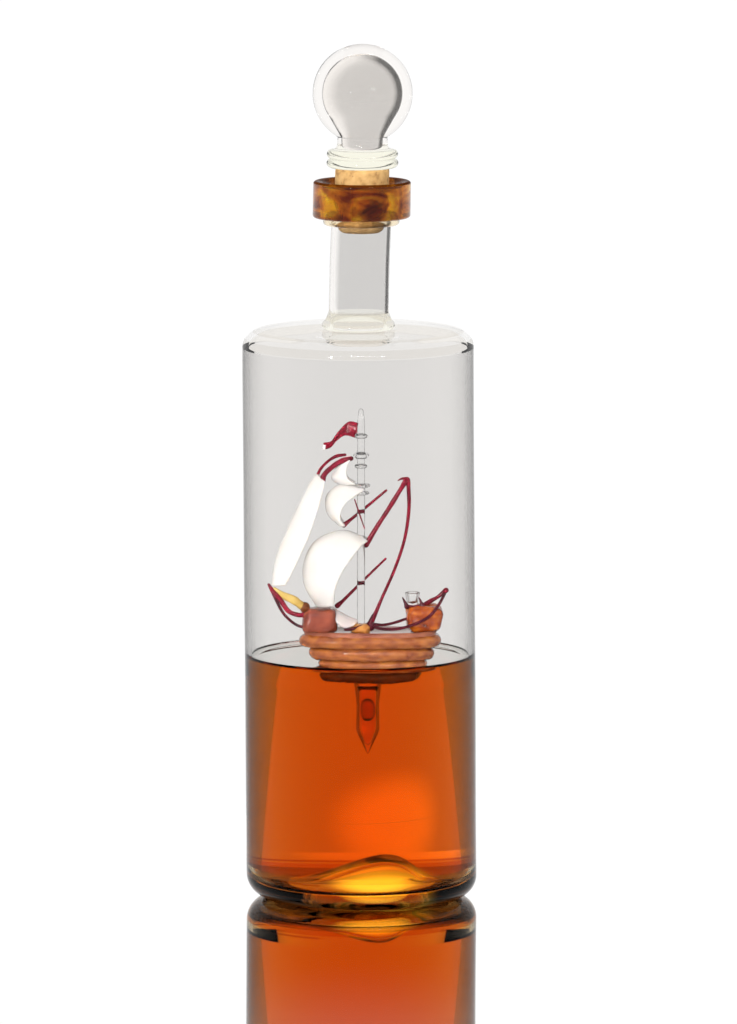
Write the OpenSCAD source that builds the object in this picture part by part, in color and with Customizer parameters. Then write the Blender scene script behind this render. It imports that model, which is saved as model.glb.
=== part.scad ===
// A round hand-blown spirit decanter with a cork-seated ball stopper.
// A lampworked glass sailing ship floats upright on the liquid inside.
// Millimetres. Origin: centre of the foot, on the table. +Z up, bow towards -X, front at -Y.

/* [Bottle] */
// Outside diameter of the body
body_d = 78; // [74:1:84]
// Thickness of the blown wall
wall_t = 2.2; // [1.8:0.1:2.6]
// Height of the flat shoulder above the table
shoulder_z = 193; // [190:1:200]
// Radius of the rounded shoulder edge
shoulder_r = 6; // [5:0.5:8]
// Radius of the rounded foot
foot_r = 7.5; // [6:0.5:9]
// Thickness of glass in the base
base_t = 3.2; // [2.6:0.1:4]
// Rise of the pushed-up middle of the base
punt_h = 10; // [8:0.5:12]
// Inner radius of the ring that the bottle stands on
contact_r = 27; // [25:0.5:28]

/* [Neck and lip] */
// Outside diameter of the neck tube
neck_d = 20.2; // [19.6:0.1:21]
// Radius of the bore through the neck
bore_r = 8.8; // [8.7:0.05:9]
// Height of the top of the neck tube
neck_top_z = 231; // [229:0.5:233]
// Outside diameter of the amber lip collar
collar_d = 33; // [30:0.5:36]
// Height of the lip collar
collar_h = 12.4; // [11:0.2:14]
// Radius of the mouth that the cork seats in
mouth_r = 9.15; // [9.1:0.05:9.2]
// Outside diameter of the pale ring under the collar
underring_d = 25.7; // [24:0.1:28]

/* [Stopper] */
// Diameter of the blown ball
ball_d = 33.6; // [30:0.2:36]
// Radial clearance of the cork in the mouth
cork_gap = 0.05; // [0.02:0.01:0.1]
// Height of the cork
cork_h = 21.8; // [20:0.2:23]
// Outside diameter of the two stacked glass beads
bead_d = 24.3; // [22:0.1:26]
// Radius of the air space in the ball
bulb_r = 10; // [8:0.5:14]
// Radius of the air space in the throat of the ball
bulb_neck_r = 4.6; // [3:0.2:6]

/* [Liquid] */
// Height of the surface of the liquid above the table
level_z = 81.7; // [76:0.1:88]
// Gap between the liquid solid and the glass
liquid_gap = 0.3; // [0.3:0.05:0.5]

/* [Ship] */
// Height of the deck above the surface of the liquid
freeboard = 9.8; // [9:0.1:11]
// How far in front of the middle of the bottle the ship floats
drift = 14; // [0:0.5:14.5]
// Widest beam of the hull
beam = 20; // [18:0.5:22]
// Height of one strake of the hull
strake_h = 4.1; // [3.8:0.1:4.3]
// Diameter of the clear glass mast
mast_d = 2.7; // [2.4:0.1:3]
// Height of the mast above the deck
mast_h = 76.4; // [70:0.2:80]
// Thickness of the opal glass sails
sail_t = 0.9; // [0.8:0.1:1.2]
// Diameter of the thicker red spars
spar_d = 1.8; // [1.5:0.1:2]
// Diameter of the thin red stays
stay_d = 1.1; // [0.9:0.05:1.3]
// Diameter of the hollow keel peg
peg_d = 6.6; // [6:0.1:7]

/* [Hidden] */
$fn = 64;

body_r = body_d / 2;
inner_r = body_r - wall_t;
neck_r = neck_d / 2;
collar_r = collar_d / 2;
collar_top_z = neck_top_z + collar_h;
deck_z = level_z + freeboard;
deck_t = 1.6;
mast_x = 0.35;
mast_r = mast_d / 2;
mast_top_z = deck_z + mast_h;
knob_r = 1.3;

// sphere that the dome of the base is cut from
dome_r = (pow(contact_r, 2) + pow(punt_h, 2)) / (2 * punt_h);
dome_z = punt_h - dome_r;
floor_corner_r = foot_r - wall_t;

// depth of the seal below the top of the shoulder, where the neck tube passes through it
seal_h = 4.7;

// key points of the rigging, all kept above the deck
bow_tip = [-30, 0, deck_z + 16.9];
stern_tip = [28.7, 0, deck_z + 14.6];
peak = [15, 0, deck_z + 51.6];
knot = [3.4, -1.8, deck_z + 3.4];

// points along an arc in a plane
function arc(c, r, a0, a1, steps = 8) =
    [for (i = [0:steps]) c + r * [cos(a0 + (a1 - a0) * i / steps), sin(a0 + (a1 - a0) * i / steps)]];

// dome of the base, from the axis out to radius r_end
function dome(r, r_end, steps = 10) =
    [for (i = [0:steps]) let (x = r_end * i / steps) [x, dome_z + sqrt(r * r - x * x)]];

// inside outline of the bottle below the shoulder, moved into the bottle by gap
function floor_outline(gap) =
    let (r = dome_r + base_t + gap,
         z = base_t + gap,
         c = floor_corner_r)
    concat(dome(r, sqrt(r * r - pow(z - dome_z, 2))),
           arc([inner_r - c, base_t + c], c - gap, -90, 0));

// quadratic curve through a start, a pull and an end
function bend(a, pull, b, steps = 8) =
    [for (i = [0:steps]) let (t = i / steps)
        (1 - t) * (1 - t) * a + 2 * t * (1 - t) * pull + t * t * b];

function unit(v) = v / norm(v);
function heading(p, i) = unit(p[min(i + 1, len(p) - 1)] - p[max(i - 1, 0)]);
function side_of(t) = unit(cross(t, abs(t.y) < 0.8 ? [0, 1, 0] : [1, 0, 0]));

// round glass rod through a list of points, its radius running from r0 to r1
module rod(p, r0, r1, sides = 8) {
    last = len(p) - 1;
    rings = [for (i = [0:last]) let (t = heading(p, i), u = side_of(t), v = cross(t, u),
                                     r = r0 + (r1 - r0) * i / last)
             for (k = [0:sides - 1]) p[i] + r * (u * cos(360 * k / sides) + v * sin(360 * k / sides))];
    walls = [for (i = [0:last - 1]) for (k = [0:sides - 1])
             let (n = (k + 1) % sides)
             [i * sides + k, (i + 1) * sides + k, (i + 1) * sides + n, i * sides + n]];
    caps = [[for (k = [0:sides - 1]) k], [for (k = [sides - 1:-1:0]) last * sides + k]];
    polyhedron(rings, concat(walls, caps), convexity = 6);
}

// curved glass sheet: rows of points, given a thickness t along the direction of push
module sheet(rows, t, push = [1, 0, 0]) {
    nu = len(rows);
    nv = len(rows[0]);
    n = nu * nv;
    points = concat([for (row = rows) for (p = row) p],
                    [for (row = rows) for (p = row) p + t * unit(push)]);
    faces = concat(
        [for (i = [0:nu - 2]) for (j = [0:nv - 2]) for (f = quad(i * nv + j, 1, nv)) f],
        [for (i = [0:nu - 2]) for (j = [0:nv - 2]) for (f = quad(n + i * nv + j, nv, 1)) f],
        [for (i = [0:nu - 2]) for (f = strip(i * nv, (i + 1) * nv, n)) f],
        [for (i = [0:nu - 2]) for (f = strip((i + 2) * nv - 1, (i + 1) * nv - 1, n)) f],
        [for (j = [0:nv - 2]) for (f = strip(j + 1, j, n)) f],
        [for (j = [0:nv - 2]) for (f = strip(n - nv + j, n - nv + j + 1, n)) f]);
    polyhedron(points, faces, convexity = 6);
}
function quad(a, du, dv) = [[a, a + du + dv, a + du], [a, a + dv, a + du + dv]];
function strip(a, b, n) = [[a, b + n, b], [a, a + n, b + n]];

// square sail: a head and a foot that both bow out, joined by a bellying cloth.
// top and bottom are the middles of the two edges, wide their half widths, belly the forward bulge.
function sail_rows(top, bottom, wide_top, wide_bottom, belly, wrap, nu = 8, nv = 8) =
    [for (i = [0:nu]) let (u = i / nu, mid = top + (bottom - top) * u,
                           half = wide_top + (wide_bottom - wide_top) * u + sin(180 * u) * 1.2)
        [for (j = [0:nv]) let (s = 2 * j / nv - 1)
            mid + [-belly * sin(180 * u) * (1 - 0.35 * s * s) + wrap * s * s, half * s, 0]]];

// boat-shaped solid with rounded edges, between x_fore and x_aft
module boat(x_fore, x_aft, half, z_mid, r) {
    x_mid = (x_fore + x_aft) / 2;
    hull() {
        translate([x_fore + r, 0, z_mid]) sphere(r, $fn = 20);
        translate([x_aft - r, 0, z_mid]) sphere(r, $fn = 20);
        for (side = [-1, 1]) {
            translate([x_mid - 7, side * (half - r), z_mid]) sphere(r, $fn = 20);
            translate([x_mid + 9, side * (half - r), z_mid]) sphere(r, $fn = 20);
        }
    }
}

// boat-shaped ring of one wound strake: a boat with the air space cut out of it
module strake(level, x_fore, x_aft, half) {
    z_mid = deck_z - strake_h * (level + 0.5);
    color([0.70, 0.36, 0.20])
    difference() {
        boat(x_fore, x_aft, half, z_mid, strake_h / 2 + 0.03);
        translate([0, 0, z_mid - strake_h / 2 - 0.5])
            linear_extrude(strake_h + 1) hull() {
                translate([x_fore + 7, 0]) circle(1.5, $fn = 24);
                translate([x_aft - 7, 0]) circle(2.5, $fn = 24);
                translate([2, 0]) circle(half - 3.4, $fn = 32);
            }
    }
}

// castle: a soft-edged block of glass on the deck
module castle(x0, x1, half, h, r) {
    hull() {
        for (x = [x0 + r, x1 - r])
            for (y = [r - half, half - r]) {
                translate([x, y, deck_z + h - r]) sphere(r, $fn = 20);
                translate([x, y, deck_z]) cylinder(r = r * 0.8, h = 1, $fn = 20);
            }
    }
}

module bottle_body() {
    outline = concat(
        dome(dome_r, contact_r),
        arc([body_r - foot_r, foot_r], foot_r, -90, 0),
        arc([body_r - shoulder_r, shoulder_z - shoulder_r], shoulder_r, 0, 90),
        [[neck_r, shoulder_z],
         [neck_r, shoulder_z - seal_h],
         [neck_r + 0.6, shoulder_z - seal_h - 0.3],
         [bore_r + 3, shoulder_z - 4.2],
         [bore_r + 6, shoulder_z - wall_t - 0.3]],
        arc([inner_r - shoulder_r + wall_t, shoulder_z - shoulder_r], shoulder_r - wall_t, 90, 0));
    inside = floor_outline(0);
    color([0.86, 0.87, 0.86, 0.35])
    rotate_extrude($fn = 96)
        polygon(concat(outline, [for (i = [len(inside) - 1:-1:0]) inside[i]]));
}

module neck_weld_ring() {
    color([0.90, 0.89, 0.80, 0.6])
    rotate_extrude()
        polygon(concat([[neck_r, shoulder_z]],
                       arc([neck_r + 0.6, shoulder_z + 1.6], 1.6, -90, 60),
                       [[neck_r + 0.35, shoulder_z + 5.2], [neck_r, shoulder_z + 6.5]]));
}

module neck_tube() {
    color([0.86, 0.87, 0.86, 0.35])
    translate([0, 0, shoulder_z - seal_h])
        difference() {
            cylinder(r = neck_r, h = neck_top_z - shoulder_z + seal_h);
            translate([0, 0, -1]) cylinder(r = bore_r, h = neck_top_z - shoulder_z + seal_h + 2);
        }
}

module lip_underring() {
    ring_h = 2.5;
    color([0.85, 0.78, 0.62, 0.7])
    rotate_extrude()
        polygon(concat([[neck_r, neck_top_z - ring_h]],
                       arc([underring_d / 2 - 1.1, neck_top_z - ring_h + 1.1], 1.1, -90, 0, 6),
                       [[underring_d / 2, neck_top_z], [neck_r, neck_top_z]]));
}

// amber lip, its top dished towards the mouth
module lip_collar() {
    edge = 1;
    dish = 1.6;
    color([0.62, 0.32, 0.05, 0.85])
    rotate_extrude($fn = 96)
        polygon(concat([[mouth_r, neck_top_z]],
                       arc([collar_r - edge, neck_top_z + edge], edge, -90, 0, 6),
                       arc([collar_r - edge, collar_top_z - edge], edge, 0, 90, 6),
                       [[collar_r - 2.6, collar_top_z - 0.2],
                        [mouth_r + 0.7, collar_top_z - dish],
                        [mouth_r, collar_top_z - dish - 0.6]]));
}

cork_z = collar_top_z + 4.4 - cork_h;
stem_r = 4;
stem_z = cork_z + 6;
bead_z = cork_z + cork_h;
bead_h = 3.1;
ball_z = bead_z + 2 * bead_h + ball_d / 2 + 1.9;

module stopper_cork() {
    cork_r = mouth_r - cork_gap;
    color([0.86, 0.68, 0.44])
    difference() {
        union() {
            translate([0, 0, neck_top_z]) cylinder(r = cork_r, h = bead_z - neck_top_z);
            translate([0, 0, cork_z + 1]) cylinder(r1 = 7.6, r2 = 8.5, h = neck_top_z - cork_z - 1);
            translate([0, 0, cork_z]) cylinder(r1 = 6.6, r2 = 7.6, h = 1);
        }
        translate([0, 0, stem_z]) cylinder(r = stem_r, h = cork_h);
    }
}

module stopper_stem() {
    color([0.88, 0.88, 0.84, 0.5])
    translate([0, 0, stem_z]) cylinder(r = stem_r, h = bead_z - stem_z);
}

module stopper_beads() {
    r = bead_d / 2 - bead_h / 2;
    color([0.88, 0.86, 0.76, 0.6])
    rotate_extrude()
        union() {
            for (i = [0, 1])
                translate([r, bead_z + bead_h * (i + 0.5)]) circle(d = bead_h, $fn = 32);
            translate([0, bead_z]) square([r, 2 * bead_h]);
        }
}

// thick-walled ball with a bulb-shaped air space
module stopper_ball() {
    r = ball_d / 2;
    foot_z = bead_z + 2 * bead_h;
    throat = 8.45;
    join = acos(throat / r);
    outside = concat([[throat + 0.7, foot_z], [throat, foot_z + 1.2]],
                     arc([0, ball_z], r, -join, 90, 24));
    inside = concat(arc([0, ball_z], bulb_r, 90, -52, 20),
                    [[bulb_neck_r + 0.3, ball_z - bulb_r - 0.8],
                     [bulb_neck_r, foot_z + 3.4],
                     [bulb_neck_r - 1.2, foot_z + 2.2],
                     [0, foot_z + 2]]);
    color([0.88, 0.88, 0.87, 0.35])
    rotate_extrude($fn = 96) polygon(concat([[0, foot_z]], outside, inside));
}

module liquid() {
    margin = 0.4;
    color([0.80, 0.32, 0.03, 0.75])
    difference() {
        rotate_extrude($fn = 96)
            polygon(concat(floor_outline(liquid_gap),
                           [[inner_r - liquid_gap, level_z], [0, level_z]]));
        afloat() hull() {
            for (z = [deck_z - 3 * strake_h + margin, level_z + 6])
                translate([0, 0, z]) linear_extrude(0.1) hull_plan(-17.6, 25.4, beam / 2 + margin);
            translate([0, 0, deck_z - 4 * strake_h - margin])
                linear_extrude(0.1) hull_plan(-12.4, 20.4, beam / 2 - 1);
        }
        afloat() translate([peg_x, 0, peg_tip_z - margin])
            cylinder(r1 = margin, r2 = peg_d / 2 + margin, h = peg_cone_h + margin);
        afloat() translate([peg_x, 0, peg_tip_z + peg_cone_h - 0.01])
            cylinder(r = peg_d / 2 + 2, h = 30);
    }
}

// where the ship floats: in front of the middle, clear of the glass all round
module afloat() {
    translate([0, -drift, 0]) children();
}

module hull_plan(x_fore, x_aft, half) {
    hull() {
        translate([x_fore + 2, 0]) circle(2, $fn = 24);
        translate([x_aft - 2, 0]) circle(2, $fn = 24);
        for (side = [-1, 1]) {
            translate([(x_fore + x_aft) / 2 - 7, side * (half - 2)]) circle(2.2, $fn = 24);
            translate([(x_fore + x_aft) / 2 + 9, side * (half - 2)]) circle(2.2, $fn = 24);
        }
    }
}

module hull_bottom() {
    color([0.36, 0.17, 0.09])
    boat(-11.5, 17.5, beam / 2 - 2.4, deck_z - strake_h * 3.5, strake_h / 2 + 0.03);
}

module hull_strake_low() { strake(2, -14.2, 22.8, beam / 2 - 1.2); }
module hull_strake_mid() { strake(1, -17.2, 25, beam / 2 - 0.4); }
module hull_strake_top() { strake(0, -20.6, 27.3, beam / 2); }

module deck() {
    color([0.66, 0.42, 0.30])
    translate([0, 0, deck_z]) linear_extrude(deck_t)
        hull_plan(-18.8, 25.6, beam / 2 - 1.6);
}

deck_top_z = deck_z + deck_t;

module forecastle() {
    color([0.58, 0.26, 0.19])
    translate([0, 0, deck_t]) castle(-19.2, -7.6, 6.4, 7.2, 2);
}

module aftercastle() {
    color([0.66, 0.30, 0.08])
    translate([0, 0, deck_t]) castle(15.4, 27.6, 6.6, 8.4, 2.6);
}

cup_x = 17.6;
castle_top_z = deck_top_z + 8.4;

module stern_cup() {
    color([0.92, 0.93, 0.92, 0.4])
    translate([cup_x, -1.5, castle_top_z - 0.2])
        difference() {
            cylinder(r1 = 1.8, r2 = 2.6, h = 4.6, $fn = 32);
            translate([0, 0, 0.8]) cylinder(r1 = 1, r2 = 1.8, h = 4, $fn = 32);
        }
}

module stern_prongs() {
    color([0.36, 0.12, 0.12])
    for (x = [cup_x - 2.4, cup_x + 3])
        translate([x, -3.6, castle_top_z - 0.2]) cylinder(r1 = 0.9, r2 = 0.25, h = 3, $fn = 24);
}

module mast() {
    color([0.93, 0.94, 0.93, 0.4])
    translate([mast_x, 0, deck_top_z]) {
        cylinder(r = mast_r, h = mast_h - deck_t - 6, $fn = 32);
        translate([0, 0, mast_h - deck_t - 6]) cylinder(r1 = mast_r, r2 = 0.8, h = 6, $fn = 32);
    }
}

// ring of glass round the mast, touching it all the way round
module mast_bead(above_deck, r) {
    translate([mast_x, 0, deck_z + above_deck])
        rotate_extrude($fn = 32)
            intersection() {
                translate([mast_r, 0]) circle(r, $fn = 24);
                translate([mast_r, -r]) square([r, 2 * r]);
            }
}

module mast_rings() {
    color([0.94, 0.94, 0.93, 0.5]) {
        mast_bead(67.2, 0.9);
        mast_bead(60.4, 1.1);
        mast_bead(56.9, 0.8);
        mast_bead(50.4, 1.2);
        mast_bead(47.8, 1);
    }
}

module mast_step() {
    color([0.90, 0.50, 0.18])
    translate([mast_x, 0, deck_top_z])
        difference() {
            cylinder(r1 = 3.2, r2 = 1.9, h = 1.8, $fn = 32);
            translate([0, 0, -1]) cylinder(r = mast_r, h = 4, $fn = 32);
        }
}

module pennant() {
    fly = 12.5;
    rows = [for (i = [0:8]) let (u = i / 8, x = mast_x - mast_r - fly * u, half = 2.5 - 1.5 * u)
        [for (s = [-1, 0, 1])
            [x, 1.2 * sin(300 * u), deck_z + 69 - 5.6 * pow(u, 1.4) + half * s]]];
    color([0.48, 0.10, 0.15]) sheet(rows, sail_t, [0, 1, 0]);
}

module topgallant_sail() {
    color([0.97, 0.96, 0.93])
    sheet(sail_rows([-5, 0, deck_z + 58.5], [-1.6, 0, deck_z + 51], 2.2, 3.2, 2, 0.8), sail_t);
}

module topsail() {
    color([0.97, 0.96, 0.93])
    sheet(sail_rows([-1.7, 0, deck_z + 49.2], [-5.6, 0, deck_z + 37.4], 3.6, 5, 5.4, 4), sail_t);
}

module mainsail() {
    color([0.98, 0.96, 0.94])
    sheet(sail_rows([-1.7, 0, deck_z + 31.4], [-11.5, 0, deck_z + 9.6], 5.6, 7.4, 8.6, 7), sail_t);
}

module foot_sail() {
    rows = [for (i = [0:6]) let (u = i / 6)
        [for (s = [-1, 0, 1])
            [-10.6 + 9.4 * u, s * (3.4 - 1.8 * u), deck_z + 9.2 - 5.4 * u - 1.1 * sin(180 * u)]]];
    color([0.95, 0.88, 0.88]) sheet(rows, sail_t, [0, 0, 1]);
}

module foresail() {
    top = [-12, 0, deck_z + 53.4];
    foot = bow_tip + [3.2, 0, -0.9];
    rows = [for (i = [0:12]) let (u = i / 12, mid = top + (foot - top) * u)
        [for (j = [0:6]) let (s = j / 3 - 1)
            mid + [-1.8 * sin(180 * u) - 1.6 * (1 - s * s), (4.4 - 0.8 * u) * s, 0]]];
    color([0.97, 0.95, 0.92]) sheet(rows, sail_t);
}

module fore_yard(y, shift, d) {
    color([0.48, 0.12, 0.18])
    rod(bend([-12.4 + shift, y, deck_z + 51.8 + shift * 0.2],
             [-10.6 + shift, y * 0.8, deck_z + 57.4],
             [-2.6 + shift, y * 0.5, deck_z + 59.4]), d / 2, d / 2);
}

module fore_yard_near() { fore_yard(-2.4, 0, spar_d); }
module fore_yard_far() { fore_yard(3.4, -2, stay_d); }

module brace(low, high) {
    color([0.50, 0.22, 0.24]) rod([low, low + (high - low) * 0.25, high], spar_d / 2, stay_d * 0.4);
}

module upper_brace() { brace([-5.6, 1.3, deck_z + 36.6], [8.8, 2.4, deck_z + 48.4]); }
module lower_brace() { brace([-7.8, 1.2, deck_z + 9.2], [8.6, 2.4, deck_z + 25.2]); }

module mizzen_spar() {
    color([0.50, 0.10, 0.16])
    rod(bend(peak, [8.6, 0, deck_z + 40], [mast_x + 1.9, 0, deck_z + 30]), stay_d / 2, spar_d / 2);
}

module mizzen_stay() {
    color([0.50, 0.10, 0.16])
    rod(bend(peak + [0.8, 0, -0.4], [17.6, -0.6, deck_z + 26], knot + [0.6, 0, 1]), stay_d / 2, stay_d / 2);
}

module peak_knob() {
    color([0.45, 0.08, 0.14]) translate(peak + [0.4, 0, 0.2]) sphere(knob_r, $fn = 24);
}

module stay_knot() {
    color([0.32, 0.09, 0.12])
    translate(knot - [0, 0, 1.9]) cylinder(r1 = 1.7, r2 = 0.8, h = 4, $fn = 24);
}

module bowsprit() {
    color([0.90, 0.74, 0.36])
    rod([bow_tip + [2.2, 0, -1.2], [-23.5, 0, deck_z + 13], [-19.4, 0, deck_z + 9.6]], 0.7, 1.5);
}

module bow_knob() {
    color([0.42, 0.20, 0.10]) translate([-18.6, 0, deck_z + 9]) sphere(1.9, $fn = 24);
}

module bow_stay_upper() {
    color([0.50, 0.12, 0.18])
    rod(bend(bow_tip, [-27.4, -1, deck_z + 7], [-18.6, -2.2, deck_z + 6.8]), spar_d / 2, spar_d / 2);
}

module bow_stay_lower() {
    color([0.40, 0.14, 0.18])
    rod(bend(bow_tip + [0.3, -0.4, -1], [-27, -2, deck_z + 4.8], [-18.7, -3.4, deck_z + 3.2]), stay_d / 2, stay_d / 2);
}

module stern_spar() {
    color([0.50, 0.10, 0.16])
    rod([stern_tip, stern_tip + [-3.2, 0, -2.6], [21.2, 0, castle_top_z - 0.4]], stay_d / 2, spar_d / 2);
}

module stern_line_near() {
    color([0.42, 0.12, 0.16])
    rod(concat(bend(stern_tip + [0, -0.3, -0.6], [24.6, -7.6, deck_z + 8], [14.2, -7.8, deck_z + 3.4]),
               bend([12.6, -7.6, deck_z + 3], [8, -6, deck_z + 2.2], knot + [0.5, -0.6, 0.2], 4)),
        stay_d / 2, stay_d / 2);
}

module stern_line_far() {
    color([0.42, 0.12, 0.16])
    rod(bend(knot + [0.5, 0.4, 0.4], [9.4, -0.8, deck_z + 3.2], [15.8, -1.2, deck_z + 5.6]), stay_d / 2, stay_d / 2);
}

module deck_line() {
    color([0.30, 0.10, 0.12])
    rod([knot + [-0.6, 0, -0.6], [-1.4, -2.8, deck_z + 2.5], [-5, -3.6, deck_z + 2.1]], stay_d / 2, stay_d / 2);
}

peg_x = 2.2;
peg_tip_z = deck_z - 39.9;
peg_cone_h = 8;
peg_wall = 1.1;

module keel_peg() {
    top_z = deck_z - 4 * strake_h;
    color([0.72, 0.30, 0.06])
    translate([peg_x, 0, 0])
        rotate_extrude($fn = 48)
            polygon([[0, peg_tip_z],
                     [peg_d / 2, peg_tip_z + peg_cone_h],
                     [peg_d / 2 - 0.2, peg_tip_z + 15],
                     [peg_d / 2 + 0.5, top_z - 1.5],
                     [peg_d / 2 + 0.9, top_z],
                     [0, top_z],
                     [0, top_z - peg_wall],
                     [peg_d / 2 - peg_wall, top_z - peg_wall],
                     [peg_d / 2 - peg_wall, peg_tip_z + peg_cone_h],
                     [0, peg_tip_z + 3]]);
}

// drop of glass sealed in the middle of the peg, fused to its wall
module keel_ballast() {
    r = peg_d / 2 - peg_wall;
    straight = 3.4;
    color([0.55, 0.20, 0.04])
    translate([peg_x, 0, peg_tip_z + 11.2 + r])
        rotate_extrude($fn = 48)
            polygon(concat(arc([0, 0], r, -90, 0), arc([0, straight], r, 0, 90)));
}

bottle_body();
neck_weld_ring();
neck_tube();
lip_underring();
lip_collar();
stopper_cork();
stopper_stem();
stopper_beads();
stopper_ball();
liquid();
afloat() hull_bottom();
afloat() hull_strake_low();
afloat() hull_strake_mid();
afloat() hull_strake_top();
afloat() deck();
afloat() forecastle();
afloat() aftercastle();
afloat() stern_cup();
afloat() stern_prongs();
afloat() mast();
afloat() mast_rings();
afloat() mast_step();
afloat() pennant();
afloat() topgallant_sail();
afloat() topsail();
afloat() mainsail();
afloat() foot_sail();
afloat() foresail();
afloat() fore_yard_near();
afloat() fore_yard_far();
afloat() upper_brace();
afloat() lower_brace();
afloat() mizzen_spar();
afloat() mizzen_stay();
afloat() peak_knob();
afloat() stay_knot();
afloat() bowsprit();
afloat() bow_knob();
afloat() bow_stay_upper();
afloat() bow_stay_lower();
afloat() stern_spar();
afloat() stern_line_near();
afloat() stern_line_far();
afloat() deck_line();
afloat() keel_peg();
afloat() keel_ballast();
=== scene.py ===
"""Looks of a hand-blown glass decanter, half full, with a lampworked glass ship afloat in it.

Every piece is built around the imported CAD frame, in metres, +Z up, the bow towards -X and the
front towards -Y. Lengths inside the shape functions are in millimetres and are scaled by MM.
"""
import math

import bpy
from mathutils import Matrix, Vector, noise


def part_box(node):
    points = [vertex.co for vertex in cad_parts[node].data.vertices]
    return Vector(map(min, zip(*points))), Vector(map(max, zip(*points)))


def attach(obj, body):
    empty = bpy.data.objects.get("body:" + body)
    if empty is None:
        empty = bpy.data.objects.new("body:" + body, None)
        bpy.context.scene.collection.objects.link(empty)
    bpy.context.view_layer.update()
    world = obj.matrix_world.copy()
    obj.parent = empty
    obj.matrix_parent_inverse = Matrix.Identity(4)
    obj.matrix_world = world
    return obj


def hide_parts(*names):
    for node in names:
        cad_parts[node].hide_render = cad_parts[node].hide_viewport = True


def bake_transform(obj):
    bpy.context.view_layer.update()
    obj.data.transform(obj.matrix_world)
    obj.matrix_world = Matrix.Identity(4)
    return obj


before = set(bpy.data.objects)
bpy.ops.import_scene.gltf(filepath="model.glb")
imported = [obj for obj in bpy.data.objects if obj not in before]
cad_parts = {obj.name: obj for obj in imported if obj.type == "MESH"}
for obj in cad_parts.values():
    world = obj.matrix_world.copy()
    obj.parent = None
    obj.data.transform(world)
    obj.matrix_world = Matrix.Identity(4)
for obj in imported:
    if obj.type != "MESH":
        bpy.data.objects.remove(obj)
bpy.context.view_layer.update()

MM = 0.001


# ---------------------------------------------------------------- places taken from the frame

def low(node):
    """Lowest corner of a CAD node in millimetres."""
    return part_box(node)[0] / MM


def high(node):
    """Highest corner of a CAD node in millimetres."""
    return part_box(node)[1] / MM


BODY_R = high("bottle_body").x
SHOULDER_Z = high("bottle_body").z
SHOULDER_EDGE_R = 6.0
FOOT_R = 7.5
WALL = 2.2
INNER_R = BODY_R - WALL
CONTACT_R = 27.0
BORE_R = 8.8
NECK_R = high("neck_tube").x
NECK_TOP_Z = high("neck_tube").z
COLLAR_R = high("lip_collar").x
COLLAR_TOP_Z = high("lip_collar").z
MOUTH_R = 9.15
UNDERRING_R = high("lip_underring").x
UNDERRING_Z = low("lip_underring").z
CORK_Z = low("stopper_cork").z
CORK_TOP_Z = high("stopper_cork").z
BEADS_R = high("stopper_beads").x
BEADS_TOP_Z = high("stopper_beads").z
BALL_R = high("stopper_ball").x
BALL_Z = high("stopper_ball").z - BALL_R
LEVEL_Z = high("liquid").z
DECK_Z = low("deck").z
DECK_TOP_Z = high("deck").z
MAST_X = (low("mast").x + high("mast").x) / 2
MAST_R = (high("mast").x - low("mast").x) / 2
MAST_TOP_Z = high("mast").z
HULL_FORE = low("hull_strake_top").x
HULL_AFT = high("hull_strake_top").x
HULL_HALF = high("hull_strake_top").y
STRAKE_H = high("hull_strake_mid").z - high("hull_strake_low").z
KEEL_TIP_Z = low("keel_peg").z
KEEL_TOP_Z = high("keel_peg").z
KEEL_X = (low("keel_peg").x + high("keel_peg").x) / 2
SHIP_Y = (low("mast").y + high("mast").y) / 2
BOW_TIP = Vector((low("bow_stay_upper").x + 0.6, 0, high("bow_stay_upper").z - 0.8))
STERN_TIP = Vector((high("stern_spar").x - 0.3, 0, high("stern_spar").z - 0.4))
PEAK = Vector((high("peak_knob").x - 1.3, 0, high("peak_knob").z - 1.3))
KNOT = Vector((low("stay_knot").x + 1.7, low("stay_knot").y + 1.7 - SHIP_Y, low("stay_knot").z + 1.9))


def lean(z):
    """Sideways wander of the hand-blown bottle and its stopper at height z."""
    turns = [(0, 0.85), (8, 0.5), (LEVEL_Z, 0.0), (SHOULDER_Z - 9, -0.7), (SHOULDER_Z, -0.6),
             (NECK_TOP_Z - 16, -0.17), (NECK_TOP_Z, 0.5), (COLLAR_TOP_Z, 0.7), (CORK_TOP_Z, 0.8),
             (BALL_Z, 0.9)]
    if z <= turns[0][0]:
        return turns[0][1]
    for (z0, x0), (z1, x1) in zip(turns, turns[1:]):
        if z <= z1:
            return x0 + (x1 - x0) * (z - z0) / (z1 - z0)
    return turns[-1][1]


def leant(points):
    """Points of the bottle, moved with its wander; the bump of the base stands off the middle."""
    out = []
    for x, y, z in points:
        bump = 6.0 * math.exp(-(x * x + y * y) / 200) if z < 18 else 0
        out.append((x + lean(z) + bump, y, z))
    return out


# ---------------------------------------------------------------- mesh helpers

def add_mesh(name, points, faces, material, body, nodes):
    """A smooth closed piece from points in millimetres. It rides on a CAD body, if one is given."""
    mesh = bpy.data.meshes.new(name)
    mesh.from_pydata([tuple(Vector(p) * MM) for p in points], [], faces)
    mesh.validate()
    mesh.materials.append(material)
    mesh.polygons.foreach_set("use_smooth", [True] * len(mesh.polygons))
    obj = bpy.data.objects.new(name, mesh)
    bpy.context.scene.collection.objects.link(obj)
    bpy.context.view_layer.objects.active = obj
    obj.select_set(True)
    bpy.ops.object.mode_set(mode="EDIT")
    bpy.ops.mesh.select_all(action="SELECT")
    bpy.ops.mesh.normals_make_consistent(inside=False)
    bpy.ops.object.mode_set(mode="OBJECT")
    obj.select_set(False)
    if body is not None:
        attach(obj, body)
    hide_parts(*nodes)
    return obj


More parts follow.
